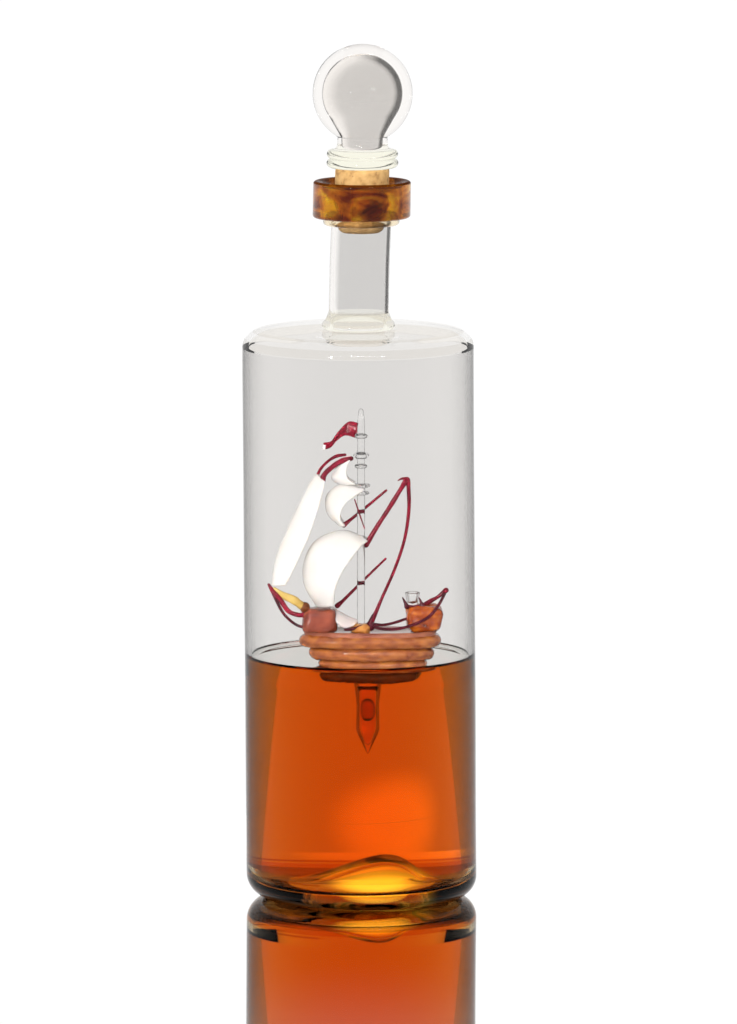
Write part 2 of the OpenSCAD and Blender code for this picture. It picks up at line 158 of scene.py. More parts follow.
def bridge(a, b):
    """Faces between two rings of point numbers. A ring of one point is a pole."""
    if len(a) == len(b) == 1:
        return []
    faces = []
    count = max(len(a), len(b))
    for k in range(count):
        n = (k + 1) % count
        if len(a) == 1:
            faces.append((a[0], b[n], b[k]))
        elif len(b) == 1:
            faces.append((a[k], a[n], b[0]))
        else:
            faces.append((a[k], a[n], b[n], b[k]))
    return faces


def bridged(rings):
    """Faces along a row of rings."""
    return [face for a, b in zip(rings, rings[1:]) for face in bridge(a, b)]


def arc(cx, cz, r, start, end, steps=10):
    """Points on an arc in the (radius, height) plane, angles in degrees."""
    out = []
    for i in range(steps + 1):
        a = math.radians(start + (end - start) * i / steps)
        out.append((cx + r * math.cos(a), cz + r * math.sin(a)))
    return out


def line(p, q, steps):
    """Evenly spaced points from p to q, without q."""
    return [(p[0] + (q[0] - p[0]) * i / steps, p[1] + (q[1] - p[1]) * i / steps) for i in range(steps)]


def lathe(profile, segments=160, wave=0.0, seed=0.0):
    """Revolves a profile of (radius, height). wave is a slow hand-blown waviness in millimetres."""
    points, rings = [], []
    for r, z in profile:
        if r < 1e-6:
            rings.append([len(points)])
            points.append((0, 0, z))
            continue
        ring = []
        for k in range(segments):
            a = 2 * math.pi * k / segments
            grown = r
            if wave:
                place = Vector((math.cos(a) * 1.1, math.sin(a) * 1.1, z * 0.022 + seed))
                grown += wave * noise.noise(place) * min(1, r / 10)
            ring.append(len(points))
            points.append((grown * math.cos(a), grown * math.sin(a), z))
        rings.append(ring)
    if len(rings[0]) > 1 and len(rings[-1]) > 1:
        rings.append(rings[0])
    return points, bridged(rings)


def smooth_path(points, steps=8):
    """Catmull-Rom curve through points of any dimension, as Vectors."""
    p = [Vector(q) for q in points]
    p = [p[0] * 2 - p[1]] + p + [p[-1] * 2 - p[-2]]
    out = []
    for i in range(1, len(p) - 2):
        a, b, c, d = p[i - 1:i + 3]
        for k in range(steps):
            t = k / steps
            out.append(0.5 * (2 * b + (c - a) * t + (2 * a - 5 * b + 4 * c - d) * t * t
                              + (3 * b - a - 3 * c + d) * t ** 3))
    out.append(p[-2])
    return out


def rod(points, radii, sides=20, steps=8, ripple=0.04, seed=0.0, closed=False):
    """A drawn glass rod through points, with rounded ends and a slight ripple in its thickness."""
    if closed:
        path, rad = [Vector(p) for p in points], list(radii)
    else:
        path = smooth_path(points, steps)
        rad = [v.x for v in smooth_path([(r, 0, 0) for r in radii], steps)]
    count = len(path)
    rings = []
    side = None
    for i, place in enumerate(path):
        after = path[(i + 1) % count] if closed else path[min(i + 1, count - 1)]
        before = path[i - 1] if closed or i else path[0]
        way = (after - before).normalized()
        if side is None:
            side = way.cross(Vector((0, 0, 1)) if abs(way.z) < 0.8 else Vector((0, 1, 0)))
        side = (side - way * side.dot(way)).normalized()
        up = way.cross(side)
        r = rad[i] * (1 + ripple * noise.noise(place * 0.5 + Vector((seed, 0, 0))) * 2)
        rings.append((place, way, side, up, r))
    if not closed:
        first, last = rings[0], rings[-1]
        cap = [math.radians(a) for a in (75, 50, 25)]
        head = [(first[0] - first[1] * first[4] * math.sin(a), *first[1:4], first[4] * math.cos(a))
                for a in cap]
        tail = [(last[0] + last[1] * last[4] * math.sin(a), *last[1:4], last[4] * math.cos(a))
                for a in reversed(cap)]
        rings = head + rings + tail
    verts, faces = [], []
    for place, way, side, up, r in rings:
        for k in range(sides):
            a = 2 * math.pi * k / sides
            verts.append(place + (side * math.cos(a) + up * math.sin(a)) * r)
    total = len(rings)
    for i in range(total if closed else total - 1):
        j = (i + 1) % total
        for k in range(sides):
            n = (k + 1) % sides
            faces.append((i * sides + k, i * sides + n, j * sides + n, j * sides + k))
    if not closed:
        faces.append(tuple(range(sides - 1, -1, -1)))
        faces.append(tuple((total - 1) * sides + k for k in range(sides)))
    return verts, faces


def cloth(surface, nu=34, nv=30, thick=0.95):
    """A closed glass sheet with rounded rims. surface(u, v) gives its middle, u and v from 0 to 1."""
    def spread(i, n):
        return 0.5 - 0.5 * math.cos(math.pi * i / n)

    def point(i, j):
        return Vector(surface(spread(i, nu), spread(j, nv)))

    grid = [[point(i, j) for j in range(nv + 1)] for i in range(nu + 1)]
    verts, index = [], {}
    for side in (1, -1):
        for i in range(nu + 1):
            for j in range(nv + 1):
                rim = i in (0, nu) or j in (0, nv)
                if side == -1 and rim:
                    index[side, i, j] = index[1, i, j]
                    continue
                du = grid[min(i + 1, nu)][j] - grid[max(i - 1, 0)][j]
                dv = grid[i][min(j + 1, nv)] - grid[i][max(j - 1, 0)]
                normal = du.cross(dv)
                normal = normal.normalized() if normal.length > 1e-9 else Vector((1, 0, 0))
                inset = min((grid[i][j] - grid[0][j]).length, (grid[i][j] - grid[nu][j]).length,
                            (grid[i][j] - grid[i][0]).length, (grid[i][j] - grid[i][nv]).length)
                t = min(inset / (thick * 0.6), 1)
                half = 0.5 * thick * math.sqrt(max(0, 1 - (1 - t) ** 2))
                index[side, i, j] = len(verts)
                verts.append(grid[i][j] + normal * half * side)
    faces = []
    for i in range(nu):
        for j in range(nv):
            for side in (1, -1):
                quad = [index[side, i, j], index[side, i + 1, j], index[side, i + 1, j + 1],
                        index[side, i, j + 1]]
                quad = quad if side == 1 else quad[::-1]
                face = list(dict.fromkeys(quad))
                if len(face) > 2:
                    faces.append(tuple(face))
    return verts, faces


def sail(spine, edge, widths):
    """A sail bellied forward: its middle follows spine and its side edges follow edge, in (x, z)."""
    middle = smooth_path([(x, 0, z) for x, z in spine], 12)
    rims = smooth_path([(x, 0, z) for x, z in edge], 12)
    halves = smooth_path([(w, 0, 0) for w in widths], 12)

    def at(path, u):
        place = u * (len(path) - 1)
        i = min(int(place), len(path) - 2)
        return path[i].lerp(path[i + 1], place - i)

    def surface(u, v):
        s = 2 * v - 1
        p = at(middle, u).lerp(at(rims, u), abs(s) ** 2.2)
        return p + Vector((0, s * at(halves, u).x, 0))

    return surface


def lump(centre, half, power=4.0, nu=48, nv=32, rough=0.12, seed=0.0, waist=None):
    """A soft-edged block of gathered glass. waist(t) scales it along its height, t from -1 to 1."""
    def signed(value, exponent):
        return math.copysign(abs(value) ** exponent, value)

    verts, rings = [], []
    e = 2 / power
    for i in range(nv + 1):
        b = -math.pi / 2 + math.pi * i / nv
        cb, sb = signed(math.cos(b), e), signed(math.sin(b), e)
        ring = []
        for k in range(nu if 0 < i < nv else 1):
            a = 2 * math.pi * k / nu
            x, y, z = cb * signed(math.cos(a), e), cb * signed(math.sin(a), e), sb
            grow = waist(z) if waist else 1.0
            p = Vector((x * half[0] * grow, y * half[1] * grow, z * half[2]))
            if rough:
                p *= 1 + rough * noise.noise(p * 0.32 + Vector((seed, seed, 0)))
            ring.append(len(verts))
            verts.append(Vector(centre) + p)
        rings.append(ring)
    return verts, bridged(rings)


def joined(parts):
    """Several (points, faces) as one."""
    verts, faces = [], []
    for p, f in parts:
        start = len(verts)
        verts += [Vector(q) for q in p]
        faces += [tuple(i + start for i in face) for face in f]
    return verts, faces


# ---------------------------------------------------------------- materials

SPIRIT_IOR = 1.36
ON_BASE_R = INNER_R - 2.3  # the spirit's skin inside this radius, or below this height, lies on the base
ON_BASE_Z = 11.5


def new_material(name):
    """An empty node material and its Principled shader."""
    material = bpy.data.materials.new(name)
    material.use_nodes = True
    shader = material.node_tree.nodes["Principled BSDF"]
    return material, material.node_tree, shader


def node(tree, kind, inputs=(), **settings):
    """Adds a shader node. inputs are pairs of (socket, value); a value that is a socket is linked."""
    made = tree.nodes.new("ShaderNode" + kind)
    for key, value in settings.items():
        setattr(made, key, value)
    for key, value in inputs:
        if isinstance(value, bpy.types.NodeSocket):
            tree.links.new(value, made.inputs[key])
        else:
            made.inputs[key].default_value = value
    return made


def object_place(tree):
    """The place on the object in metres."""
    return node(tree, "TexCoord").outputs["Object"]


def colour_ramp(tree, source, stops):
    """A colour over source: stops of (amount, colour)."""
    ramp = node(tree, "ValToRGB", [("Fac", source)])
    elements = ramp.color_ramp.elements
    while len(elements) < len(stops):
        elements.new(0.5)
    for element, (at, colour) in zip(elements, stops):
        element.position = at
        element.color = (*colour, 1)
    return ramp.outputs["Color"]


def colour_mix(tree, factor, a, b):
    """Colour a where factor is 0 and b where it is 1."""
    mix = node(tree, "Mix", data_type="RGBA")
    for key, value in (("Factor", factor), ("A", a), ("B", b)):
        if isinstance(value, bpy.types.NodeSocket):
            tree.links.new(value, mix.inputs[key])
        else:
            mix.inputs[key].default_value = value
    return mix.outputs["Result"]


def noise_between(tree, colours, scale, detail=4.0, stretch=(1, 1, 1), distortion=0.0, spread=(0.3, 0.7)):
    """A colour that wanders between the given colours over the surface."""
    mapping = node(tree, "Mapping", [("Vector", object_place(tree)), ("Scale", stretch)])
    texture = node(tree, "TexNoise", [("Vector", mapping.outputs["Vector"]), ("Scale", scale),
                                      ("Detail", detail), ("Distortion", distortion)])
    step = (spread[1] - spread[0]) / (len(colours) - 1)
    stops = [(spread[0] + step * i, colour) for i, colour in enumerate(colours)]
    return colour_ramp(tree, texture.outputs["Fac"], stops), texture.outputs["Fac"]


def add_bump(tree, shader, height, strength, distance):
    """Bump from a height socket."""
    bump = node(tree, "Bump", [("Height", height), ("Strength", strength), ("Distance", distance)])
    tree.links.new(bump.outputs["Normal"], shader.inputs["Normal"])


def painted_rim_shade(tree, stops, right_stops=None):
    """Painted rim shade: a colour over how far the surface turns away from view, stops of (amount, colour).
    right_stops, where given, replace them towards +X, for painted shade on that side only."""
    facing = node(tree, "LayerWeight", [("Blend", 0.5)]).outputs["Facing"]
    left = colour_ramp(tree, facing, stops)
    if right_stops is None:
        return left
    split = node(tree, "SeparateXYZ", [("Vector", object_place(tree))])
    side = node(tree, "MapRange", [("Value", split.outputs["X"]), ("From Min", -0.002), ("From Max", 0.006)])
    return colour_mix(tree, side.outputs["Result"], left, colour_ramp(tree, facing, right_stops))


def grey(tint, *pairs):
    """Stops of a tint with painted rim shade, made lighter or darker: pairs of (amount turned away, level).
    """
    return [(at, tuple(c * level for c in tint)) for at, level in pairs]


def clear_glass(name, stops, right_stops=None, ior=1.45, shine=0.25, coat=0.0):
    """Clear glass with painted shade where it turns away, standing in for dark surroundings seen through
    glass before a white backdrop.
    """
    material, tree, shader = new_material(name)
    if len(stops) == 1:
        shader.inputs["Base Color"].default_value = (*stops[0][1], 1)
    else:
        tree.links.new(painted_rim_shade(tree, stops, right_stops), shader.inputs["Base Color"])
    shader.inputs["Transmission Weight"].default_value = 1.0
    shader.inputs["Roughness"].default_value = 0.0
    shader.inputs["IOR"].default_value = ior
    shader.inputs["Specular Tint"].default_value = (shine, shine, shine, 1)
    shader.inputs["Coat Weight"].default_value = coat
    shader.inputs["Coat Roughness"].default_value = 0.02
    return material


def spirit_side():
    """Amber spirit: clear, with a deep orange absorption, and painted shade towards its sides, standing in
    for the dark surroundings it bends into view past the backdrop. The bound of the painted shade leans
    outwards towards the base. Where it lies on the base it lets the view through unbent."""
    material, tree, shader = new_material("amber_spirit")
    facing = node(tree, "LayerWeight", [("Blend", 0.5)]).outputs["Facing"]
    split = node(tree, "SeparateXYZ", [("Vector", object_place(tree))])
    bound = node(tree, "MapRange", [("Value", split.outputs["Z"]), ("From Min", 0.015), ("From Max", 0.080),
                                    ("To Min", 0.378), ("To Max", 0.228)])
    past = node(tree, "Math", [(0, facing), (1, bound.outputs["Result"])], operation="SUBTRACT")
    half = node(tree, "Math", [(0, past.outputs["Value"]), (1, 0.5)], operation="ADD")
    # The painted shade of the sides: past the bound, the spirit's colour is darkened.
    side = colour_ramp(tree, half.outputs["Value"], [(0.498, (1, 1, 1)), (0.508, (0.42, 0.70, 1)),
                                                     (0.56, (0.33, 0.60, 1)), (0.68, (0.26, 0.52, 1))])
    on_base = base_mask(tree, split)
    tree.links.new(colour_mix(tree, on_base, side, (1, 1, 1, 1)), shader.inputs["Base Color"])
    finish_spirit(tree, shader)
    bend = node(tree, "MapRange", [("Value", on_base), ("To Min", SPIRIT_IOR), ("To Max", 1.001)])
    tree.links.new(bend.outputs["Result"], shader.inputs["IOR"])
    return material


def base_mask(tree, split):
    """1 where the spirit's skin lies on the base, 0 on its upright side; split holds the place in metres."""
    flat = node(tree, "CombineXYZ", [("X", split.outputs["X"]), ("Y", split.outputs["Y"])])
    away = node(tree, "VectorMath", [(0, flat.outputs["Vector"])], operation="LENGTH")
    inside = node(tree, "Math", [(0, away.outputs["Value"]), (1, ON_BASE_R * MM)], operation="LESS_THAN")
    deep = node(tree, "Math", [(0, split.outputs["Z"]), (1, ON_BASE_Z * MM)], operation="LESS_THAN")
    either = node(tree, "Math", [(0, inside.outputs["Value"]), (1, deep.outputs["Value"])],
                  operation="MAXIMUM")
    return either.outputs["Value"]


def finish_spirit(tree, shader, shine=0.0):
    """The spirit's clearness, its index and its colour in depth."""
    shader.inputs["Transmission Weight"].default_value = 1.0
    shader.inputs["Roughness"].default_value = 0.0
    shader.inputs["IOR"].default_value = SPIRIT_IOR
    shader.inputs["Specular Tint"].default_value = (shine, shine, shine, 1)
    absorb = node(tree, "VolumeAbsorption", [("Color", (0.957, 0.663, 0.063, 1)), ("Density", 97.0)])
    tree.links.new(absorb.outputs["Volume"], tree.nodes["Material Output"].inputs["Volume"])


def spirit_top():
    """The surface of the spirit, a bright mirror at a low view."""
    material, tree, shader = new_material("spirit_surface")
    shader.inputs["Base Color"].default_value = (0.97, 0.97, 0.92, 1)
    shader.inputs["Metallic"].default_value = 0.8
    finish_spirit(tree, shader, shine=1.0)
    return material


def body_glass(name, colours, scale, transmission=0.3, roughness=0.1, coat=0.6, stretch=(1, 1, 1),
               bump=0.15, subsurface=0.0, distortion=0.0, spread=(0.3, 0.7), shine=0.3, ior=1.5):
    """Coloured lampwork glass: part clear, part body colour, with streaks and a fire-polished skin."""
    material, tree, shader = new_material(name)
    colour, height = noise_between(tree, colours, scale, stretch=stretch, distortion=distortion,
                                   spread=spread)
    tree.links.new(colour, shader.inputs["Base Color"])
    shader.inputs["Transmission Weight"].default_value = transmission
    shader.inputs["Roughness"].default_value = roughness
    shader.inputs["IOR"].default_value = ior
    shader.inputs["Specular Tint"].default_value = (shine, shine, shine, 1)
    if coat:
        shader.inputs["Coat Weight"].default_value = coat
        shader.inputs["Coat Roughness"].default_value = 0.05
        shader.inputs["Coat IOR"].default_value = 1.3
    if subsurface:
        shader.inputs["Subsurface Weight"].default_value = subsurface
        shader.inputs["Subsurface Radius"].default_value = (1.0, 0.8, 0.6)
        shader.inputs["Subsurface Scale"].default_value = 0.002
    add_bump(tree, shader, height, bump, 0.0004)
    return material


def cork_material(name, level):
    """Agglomerate cork with dark pores; level makes it darker."""
    material, tree, shader = new_material(name)
    tans = [(0.35, 0.18, 0.06), (0.58, 0.34, 0.12), (0.68, 0.42, 0.165)]
    tans = [tuple(c * level for c in tan) for tan in tans]
    base, height = noise_between(tree, tans, 420, detail=8, spread=(0.3, 0.65))
    pores = node(tree, "TexVoronoi", [("Vector", object_place(tree)), ("Scale", 620)])
    between = colour_ramp(tree, pores.outputs["Distance"], [(0.08, (0, 0, 0)), (0.22, (1, 1, 1))])
    grain = colour_mix(tree, between, (0.28, 0.13, 0.045, 1), base)
    tree.links.new(grain, shader.inputs["Base Color"])
    shader.inputs["Roughness"].default_value = 0.85
    add_bump(tree, shader, height, 0.5, 0.0005)
    return material


# Clear glasses below with more than one stop carry painted rim shade; a single stop is a plain tint.
WARM_GREY = (1.0, 0.975, 0.95)
THIN = 1.12  # index of the thin walls, which hardly bend the view
# Painted rim shade of the bottle wall: darker where it turns away from view.
WALL_SHADE_STOPS = ((0, 0.70), (0.25, 0.73), (0.40, 0.71), (0.58, 0.52), (0.65, 0.38), (0.73, 0.26), (0.84, 0.06),
              (0.95, 0.03))
BOTTLE_GLASS = clear_glass("bottle_glass", grey(WARM_GREY, *WALL_SHADE_STOPS), ior=THIN, shine=1.0)
# The wall below the spirit's level, with painted rim shade of its own.
LOW_GLASS = clear_glass("bottle_glass_low", grey(WARM_GREY, (0, 0.75), (0.38, 0.73), (0.50, 0.52),
                                                 (0.62, 0.32), (0.80, 0.12),
                                                 (0.92, 0.05)), ior=THIN, shine=1.0)
# Painted shade: the base's rim where it stands is tinted near black, darker still where it turns away.
RIM_SHADE_GLASS = clear_glass("base_rim_painted_shade", [(0, (0.28, 0.12, 0.04)), (0.25, (0.12, 0.05, 0.02)),
                                           (0.5, (0.02, 0.012, 0.008))],
                        ior=THIN, shine=1.0)
# The shoulder's top and its inside get lighter plain tints than the wall: painted light on the same glass.
SHOULDER_GLASS = clear_glass("shoulder_glass", [(0, (0.86, 0.84, 0.805))], ior=1.005, shine=1.0, coat=0.5)
SHOULDER_INNER = clear_glass("shoulder_inner_glass", [(0, (0.90, 0.88, 0.85))], ior=1.005, shine=1.0)
# Painted highlight: a white, fully coated ring of glass on the shoulder's front rounding.
SHOULDER_HIGHLIGHT = clear_glass("shoulder_painted_highlight", [(0, (1.0, 1.0, 1.0))], ior=1.005, shine=1.0, coat=1.0)
# The foot's glass is tinted with the spirit's amber seen through it, going to painted shade where it turns
# away.
FOOT_EDGE = clear_glass("foot_edge_glass", [(0, (0.66, 0.31, 0.07)), (0.5, (0.42, 0.17, 0.035)),
                                            (0.8, (0.18, 0.06, 0.012)),
                                            (1, (0.03, 0.015, 0.005))], ior=THIN, shine=1.0)
FOOT_GLASS_CLEAR = clear_glass("foot_glass", grey((0.98, 0.95, 0.86), (0, 0.98), (0.84, 0.96), (0.92, 0.75),
                                                  (0.97, 0.4)),
                               ior=THIN, shine=1.0)
INNER_GLASS = clear_glass("bottle_inner_glass", [(0, (1.0, 1.0, 1.0))], ior=THIN, shine=0.0)
# Painted rim shade of the neck, with a painted dark line on its +X side.
NECK_GLASS = clear_glass("neck_glass", grey(WARM_GREY, (0, 0.62), (0.25, 0.63), (0.32, 0.9), (0.60, 0.97),
                                            (0.70, 0.8),
                                            (0.85, 0.5)),
                         grey(WARM_GREY, (0, 0.62), (0.47, 0.62), (0.54, 0.05), (0.72, 0.01), (0.80, 0.9),
                              (1, 0.95)),
                         ior=THIN, shine=1.0)
WELD_GLASS = clear_glass("weld_glass", grey((1.0, 0.985, 0.89), (0, 0.95), (0.6, 0.92), (0.8, 0.78),
                                            (0.9, 0.6), (1, 0.8)),
                         ior=THIN, shine=1.0)
BEAD_GLASS = clear_glass("bead_glass", grey((1.0, 0.985, 0.85), (0, 0.92), (0.5, 0.95), (0.7, 0.75),
                                            (0.9, 0.5)), ior=THIN,
                         shine=1.0)
BALL_GLASS = clear_glass("ball_glass", grey(WARM_GREY, (0, 0.95), (0.6, 0.95), (0.8, 0.75), (0.92, 0.5)),
                         ior=THIN, shine=1.0)
# Painted rim shade of the ball's air space, with a painted dark crescent on its +X side.
BALL_INNER = clear_glass("ball_inner_glass", grey(WARM_GREY, (0, 0.64), (0.25, 0.67), (0.35, 0.80),
                                                  (0.45, 0.97), (1, 1)),
                         grey(WARM_GREY, (0, 0.64), (0.36, 0.64), (0.45, 0.35), (0.54, 0.06), (0.85, 0.02),
                              (0.95, 0.4)),
                         ior=THIN, shine=0.2)
ROD_GLASS = clear_glass("rod_glass", grey((1, 1, 1), (0, 0.99), (0.30, 0.95), (0.5, 0.50), (0.72, 0.25),
                                          (0.9, 0.5)))
RING_GLASS = clear_glass("mast_ring_glass", grey((1, 1, 1), (0, 1.0), (0.5, 0.95), (0.8, 0.6), (0.95, 0.4)),
                         shine=0.6)
PALE_RING = clear_glass("pale_ring_glass", grey((1.0, 0.86, 0.62), (0, 0.95), (0.6, 0.9), (0.9, 0.5)))
SPIRIT = spirit_side()
SPIRIT_TOP = spirit_top()
COLLAR_GLASS = body_glass("collar_glass", [(0.12, 0.015, 0.001), (0.52, 0.15, 0.002), (0.85, 0.47, 0.010)],
                          48, transmission=0.85, roughness=0.02, coat=0, stretch=(1, 1, 2.2),
                          bump=0.03, distortion=1.8, spread=(0.38, 0.66))
# Painted shade: the collar's upward faces get a darker amber than its side.
COLLAR_TOP = body_glass("collar_top_painted_shade", [(0.10, 0.02, 0.002), (0.22, 0.06, 0.004)], 48, transmission=0.5,
                        roughness=0.1,
                        coat=0, ior=1.02)
HULL_GLASS = body_glass("hull_glass", [(0.20, 0.045, 0.014), (0.34, 0.09, 0.020), (0.48, 0.16, 0.030)],
                        420, transmission=0.25, roughness=0.07, coat=0.4, stretch=(0.6, 1, 1.2), bump=0.5,
                        shine=1.0)
DECK_GLASS = body_glass("deck_glass", [(0.22, 0.06, 0.035), (0.42, 0.15, 0.08)], 200, transmission=0.2)
FORE_GLASS = body_glass("forecastle_glass", [(0.14, 0.02, 0.012), (0.34, 0.075, 0.035)], 240,
                        transmission=0.2, roughness=0.06, coat=0, stretch=(1, 1, 1.2), bump=0.3, shine=1.0)
AMBER_GLASS = body_glass("amber_glass", [(0.14, 0.012, 0.001), (0.36, 0.055, 0.004), (0.62, 0.17, 0.012)],
                         300, transmission=0.35, roughness=0.06, coat=0, stretch=(1, 1, 1.2), bump=0.35,
                         shine=1.0)
OPAL_GLASS = body_glass("opal_glass", [(0.66, 0.63, 0.60), (0.80, 0.775, 0.75)], 60, transmission=0.15,
                        roughness=0.2, coat=0.3, bump=0.06, subsurface=0.3)
FOOT_GLASS = body_glass("foot_sail_glass", [(0.78, 0.66, 0.64), (0.90, 0.82, 0.80)], 120, transmission=0.3,
                        roughness=0.12, coat=0.4, bump=0.08, subsurface=0.3)
WINE_GLASS = body_glass("wine_glass", [(0.10, 0.006, 0.014), (0.25, 0.012, 0.03)], 300, transmission=0.15,
                        roughness=0.08, coat=0, bump=0.1)
DARK_GLASS = body_glass("dark_line_glass", [(0.04, 0.005, 0.010), (0.10, 0.012, 0.02)], 300,
                        transmission=0.1, roughness=0.08, coat=0, bump=0.1)
GOLD_GLASS = body_glass("gold_glass", [(0.55, 0.33, 0.05), (0.90, 0.70, 0.26)], 300, transmission=0.4,
                        roughness=0.08, coat=0, stretch=(0.4, 1, 0.4), bump=0.2)
KEEL_GLASS = clear_glass("keel_glass", grey((1.0, 0.80, 0.55), (0, 0.96), (0.25, 0.9), (0.34, 0.15),
                                            (0.6, 0.2), (1, 0.6)))
KEEL_INNER = clear_glass("keel_inner_glass", [(0, (0.9, 0.62, 0.38))])
KEEL_DARK = body_glass("keel_dark_glass", [(0.05, 0.012, 0.004), (0.12, 0.03, 0.01)], 200, transmission=0.2,
                       coat=0)
MOUND_GLASS = body_glass("mound_glass", [(0.60, 0.16, 0.02), (0.92, 0.48, 0.14)], 300, transmission=0.35,
                         coat=0)
BROWN_GLASS = body_glass("brown_glass", [(0.10, 0.025, 0.006), (0.24, 0.07, 0.02)], 260, transmission=0.2,
                         coat=0)
DROP_GLASS = clear_glass("drop_glass", grey((0.9, 0.6, 0.4), (0, 0.8), (0.3, 0.5), (0.6, 0.15), (1, 0.3)))
PENNANT_GLASS = body_glass("pennant_glass", [(0.12, 0.004, 0.012), (0.27, 0.012, 0.03)], 200,
                           transmission=0.15,
                           roughness=0.08, coat=0)
CORK = cork_material("cork_grain", 1.0)
DARKER_LOW_CORK = cork_material("darker_low_cork_grain", 0.5)


# ---------------------------------------------------------------- bottle

def underside(steps=22):
    """The underside of the pushed-up base, from the axis out to where it stands."""
    rim = math.exp(-(CONTACT_R / 13.5) ** 2)
    out = []
    for i in range(steps + 1):
        r = CONTACT_R * i / steps
        out.append((r, 12 * (math.exp(-(r / 13.5) ** 2) - rim) / (1 - rim)))
    return out


def floor_outline(into, steps=22):
    """The inside of the bottle's base and foot, from the axis out to the wall; into lies in the glass."""
    c = FOOT_R - WALL
    z = 5.2 - into
    inner = []
    for i in range(steps + 1):
        r = (INNER_R - c) * i / steps
        inner.append((r, z + 10.4 * math.exp(-(r / 13) ** 2)))
    return inner[:-1] + arc(INNER_R - c, z + c + into, c + into, -90, 0, 12)


def paint(obj, materials, choose):
    """Gives faces further materials. choose(centre, normal) gives the index, lengths in millimetres."""
    for material in materials:
        obj.data.materials.append(material)
    for face in obj.data.polygons:
        face.material_index = choose(face.center / MM, face.normal)


def make_bottle():
    """Body, neck and the thick bead where they are sealed together: one closed shell of blown glass."""
    outside = underside() + arc(BODY_R - FOOT_R, FOOT_R, FOOT_R, -90, 0, 14)
    outside += line((BODY_R, FOOT_R), (BODY_R, SHOULDER_Z - SHOULDER_EDGE_R), 40)[1:]
    outside += arc(BODY_R - SHOULDER_EDGE_R, SHOULDER_Z - SHOULDER_EDGE_R, SHOULDER_EDGE_R, 0, 90, 14)
    outside += line((BODY_R - SHOULDER_EDGE_R, SHOULDER_Z), (NECK_R + 2, SHOULDER_Z), 14)[1:]
    outside += arc(NECK_R + 0.5, SHOULDER_Z + 1.7, 1.7, -60, 62, 14)
    outside += [(NECK_R + 0.85, SHOULDER_Z + 4.0), (NECK_R + 0.45, SHOULDER_Z + 5.0),
                (NECK_R + 0.12, SHOULDER_Z + 5.9)]
    outside += line((NECK_R, SHOULDER_Z + 6.4), (NECK_R, NECK_TOP_Z - 0.05), 20)
    bore = line((BORE_R, NECK_TOP_Z - 0.05), (BORE_R, SHOULDER_Z - 1.0), 24)
    bore += [(BORE_R + 0.1, SHOULDER_Z - 2.4), (BORE_R + 0.7, SHOULDER_Z - 3.4),
             (BORE_R + 1.7, SHOULDER_Z - 3.7),
             (BORE_R + 3.0, SHOULDER_Z - 3.3), (BORE_R + 4.8, SHOULDER_Z - 2.7),
             (BORE_R + 7, SHOULDER_Z - WALL - 0.1)]
    inner_edge = SHOULDER_EDGE_R - WALL
    inside = line((BORE_R + 9, SHOULDER_Z - WALL), (INNER_R - inner_edge, SHOULDER_Z - WALL), 8)
    inside += arc(INNER_R - inner_edge, SHOULDER_Z - SHOULDER_EDGE_R, inner_edge, 90, 0, 12)
    inside += line((INNER_R, SHOULDER_Z - SHOULDER_EDGE_R), (INNER_R, FOOT_R), 40)[1:]
    floor = floor_outline(0)
    points, faces = lathe(outside + bore + inside + floor[::-1], 192, wave=0.10)
    obj = add_mesh("blown_body", leant(points), faces, BOTTLE_GLASS, "bottle",
                   ["bottle_body", "neck_tube", "neck_weld_ring"])

    def choose(centre, normal):
        r = math.hypot(centre.x - lean(centre.z), centre.y)
        # Faces near the ring where the base stands take the painted contact shade (7); the rest of the base
        # inside takes 2.
        if centre.z < FOOT_R + 9 and r < INNER_R - 0.3:
            return 7 if r > CONTACT_R - 2 and centre.z < 3.6 else 2
        if centre.z < 5.6 and r > CONTACT_R:
            return 7
        # The foot takes the spirit's amber seen through it, with painted shade where it turns away (9).
        if centre.z < FOOT_R + 1.5:
            return 9
        if centre.z < LEVEL_Z and r > BODY_R - WALL / 2:
            return 6
        if centre.z > SHOULDER_Z + 6:
            return 4 if r > BORE_R + 0.5 else 3
        if centre.z > SHOULDER_Z + 0.3:
            return 5 if r > BORE_R + 0.5 else 3
        if centre.z > SHOULDER_Z - SHOULDER_EDGE_R:
            outward = normal.z + (normal.x * centre.x + normal.y * centre.y) / max(r, 1)
            if outward < 0:
                return 8
            # A thin band just under the shoulder's top takes the painted highlight (10).
            return 10 if -2.8 < centre.z - SHOULDER_Z < -0.6 else 1
        return 3 if r < BODY_R - WALL / 2 else 0

    paint(obj, [SHOULDER_GLASS, FOOT_GLASS_CLEAR, INNER_GLASS, NECK_GLASS, WELD_GLASS, LOW_GLASS, RIM_SHADE_GLASS,
                SHOULDER_INNER, FOOT_EDGE, SHOULDER_HIGHLIGHT], choose)
    return obj


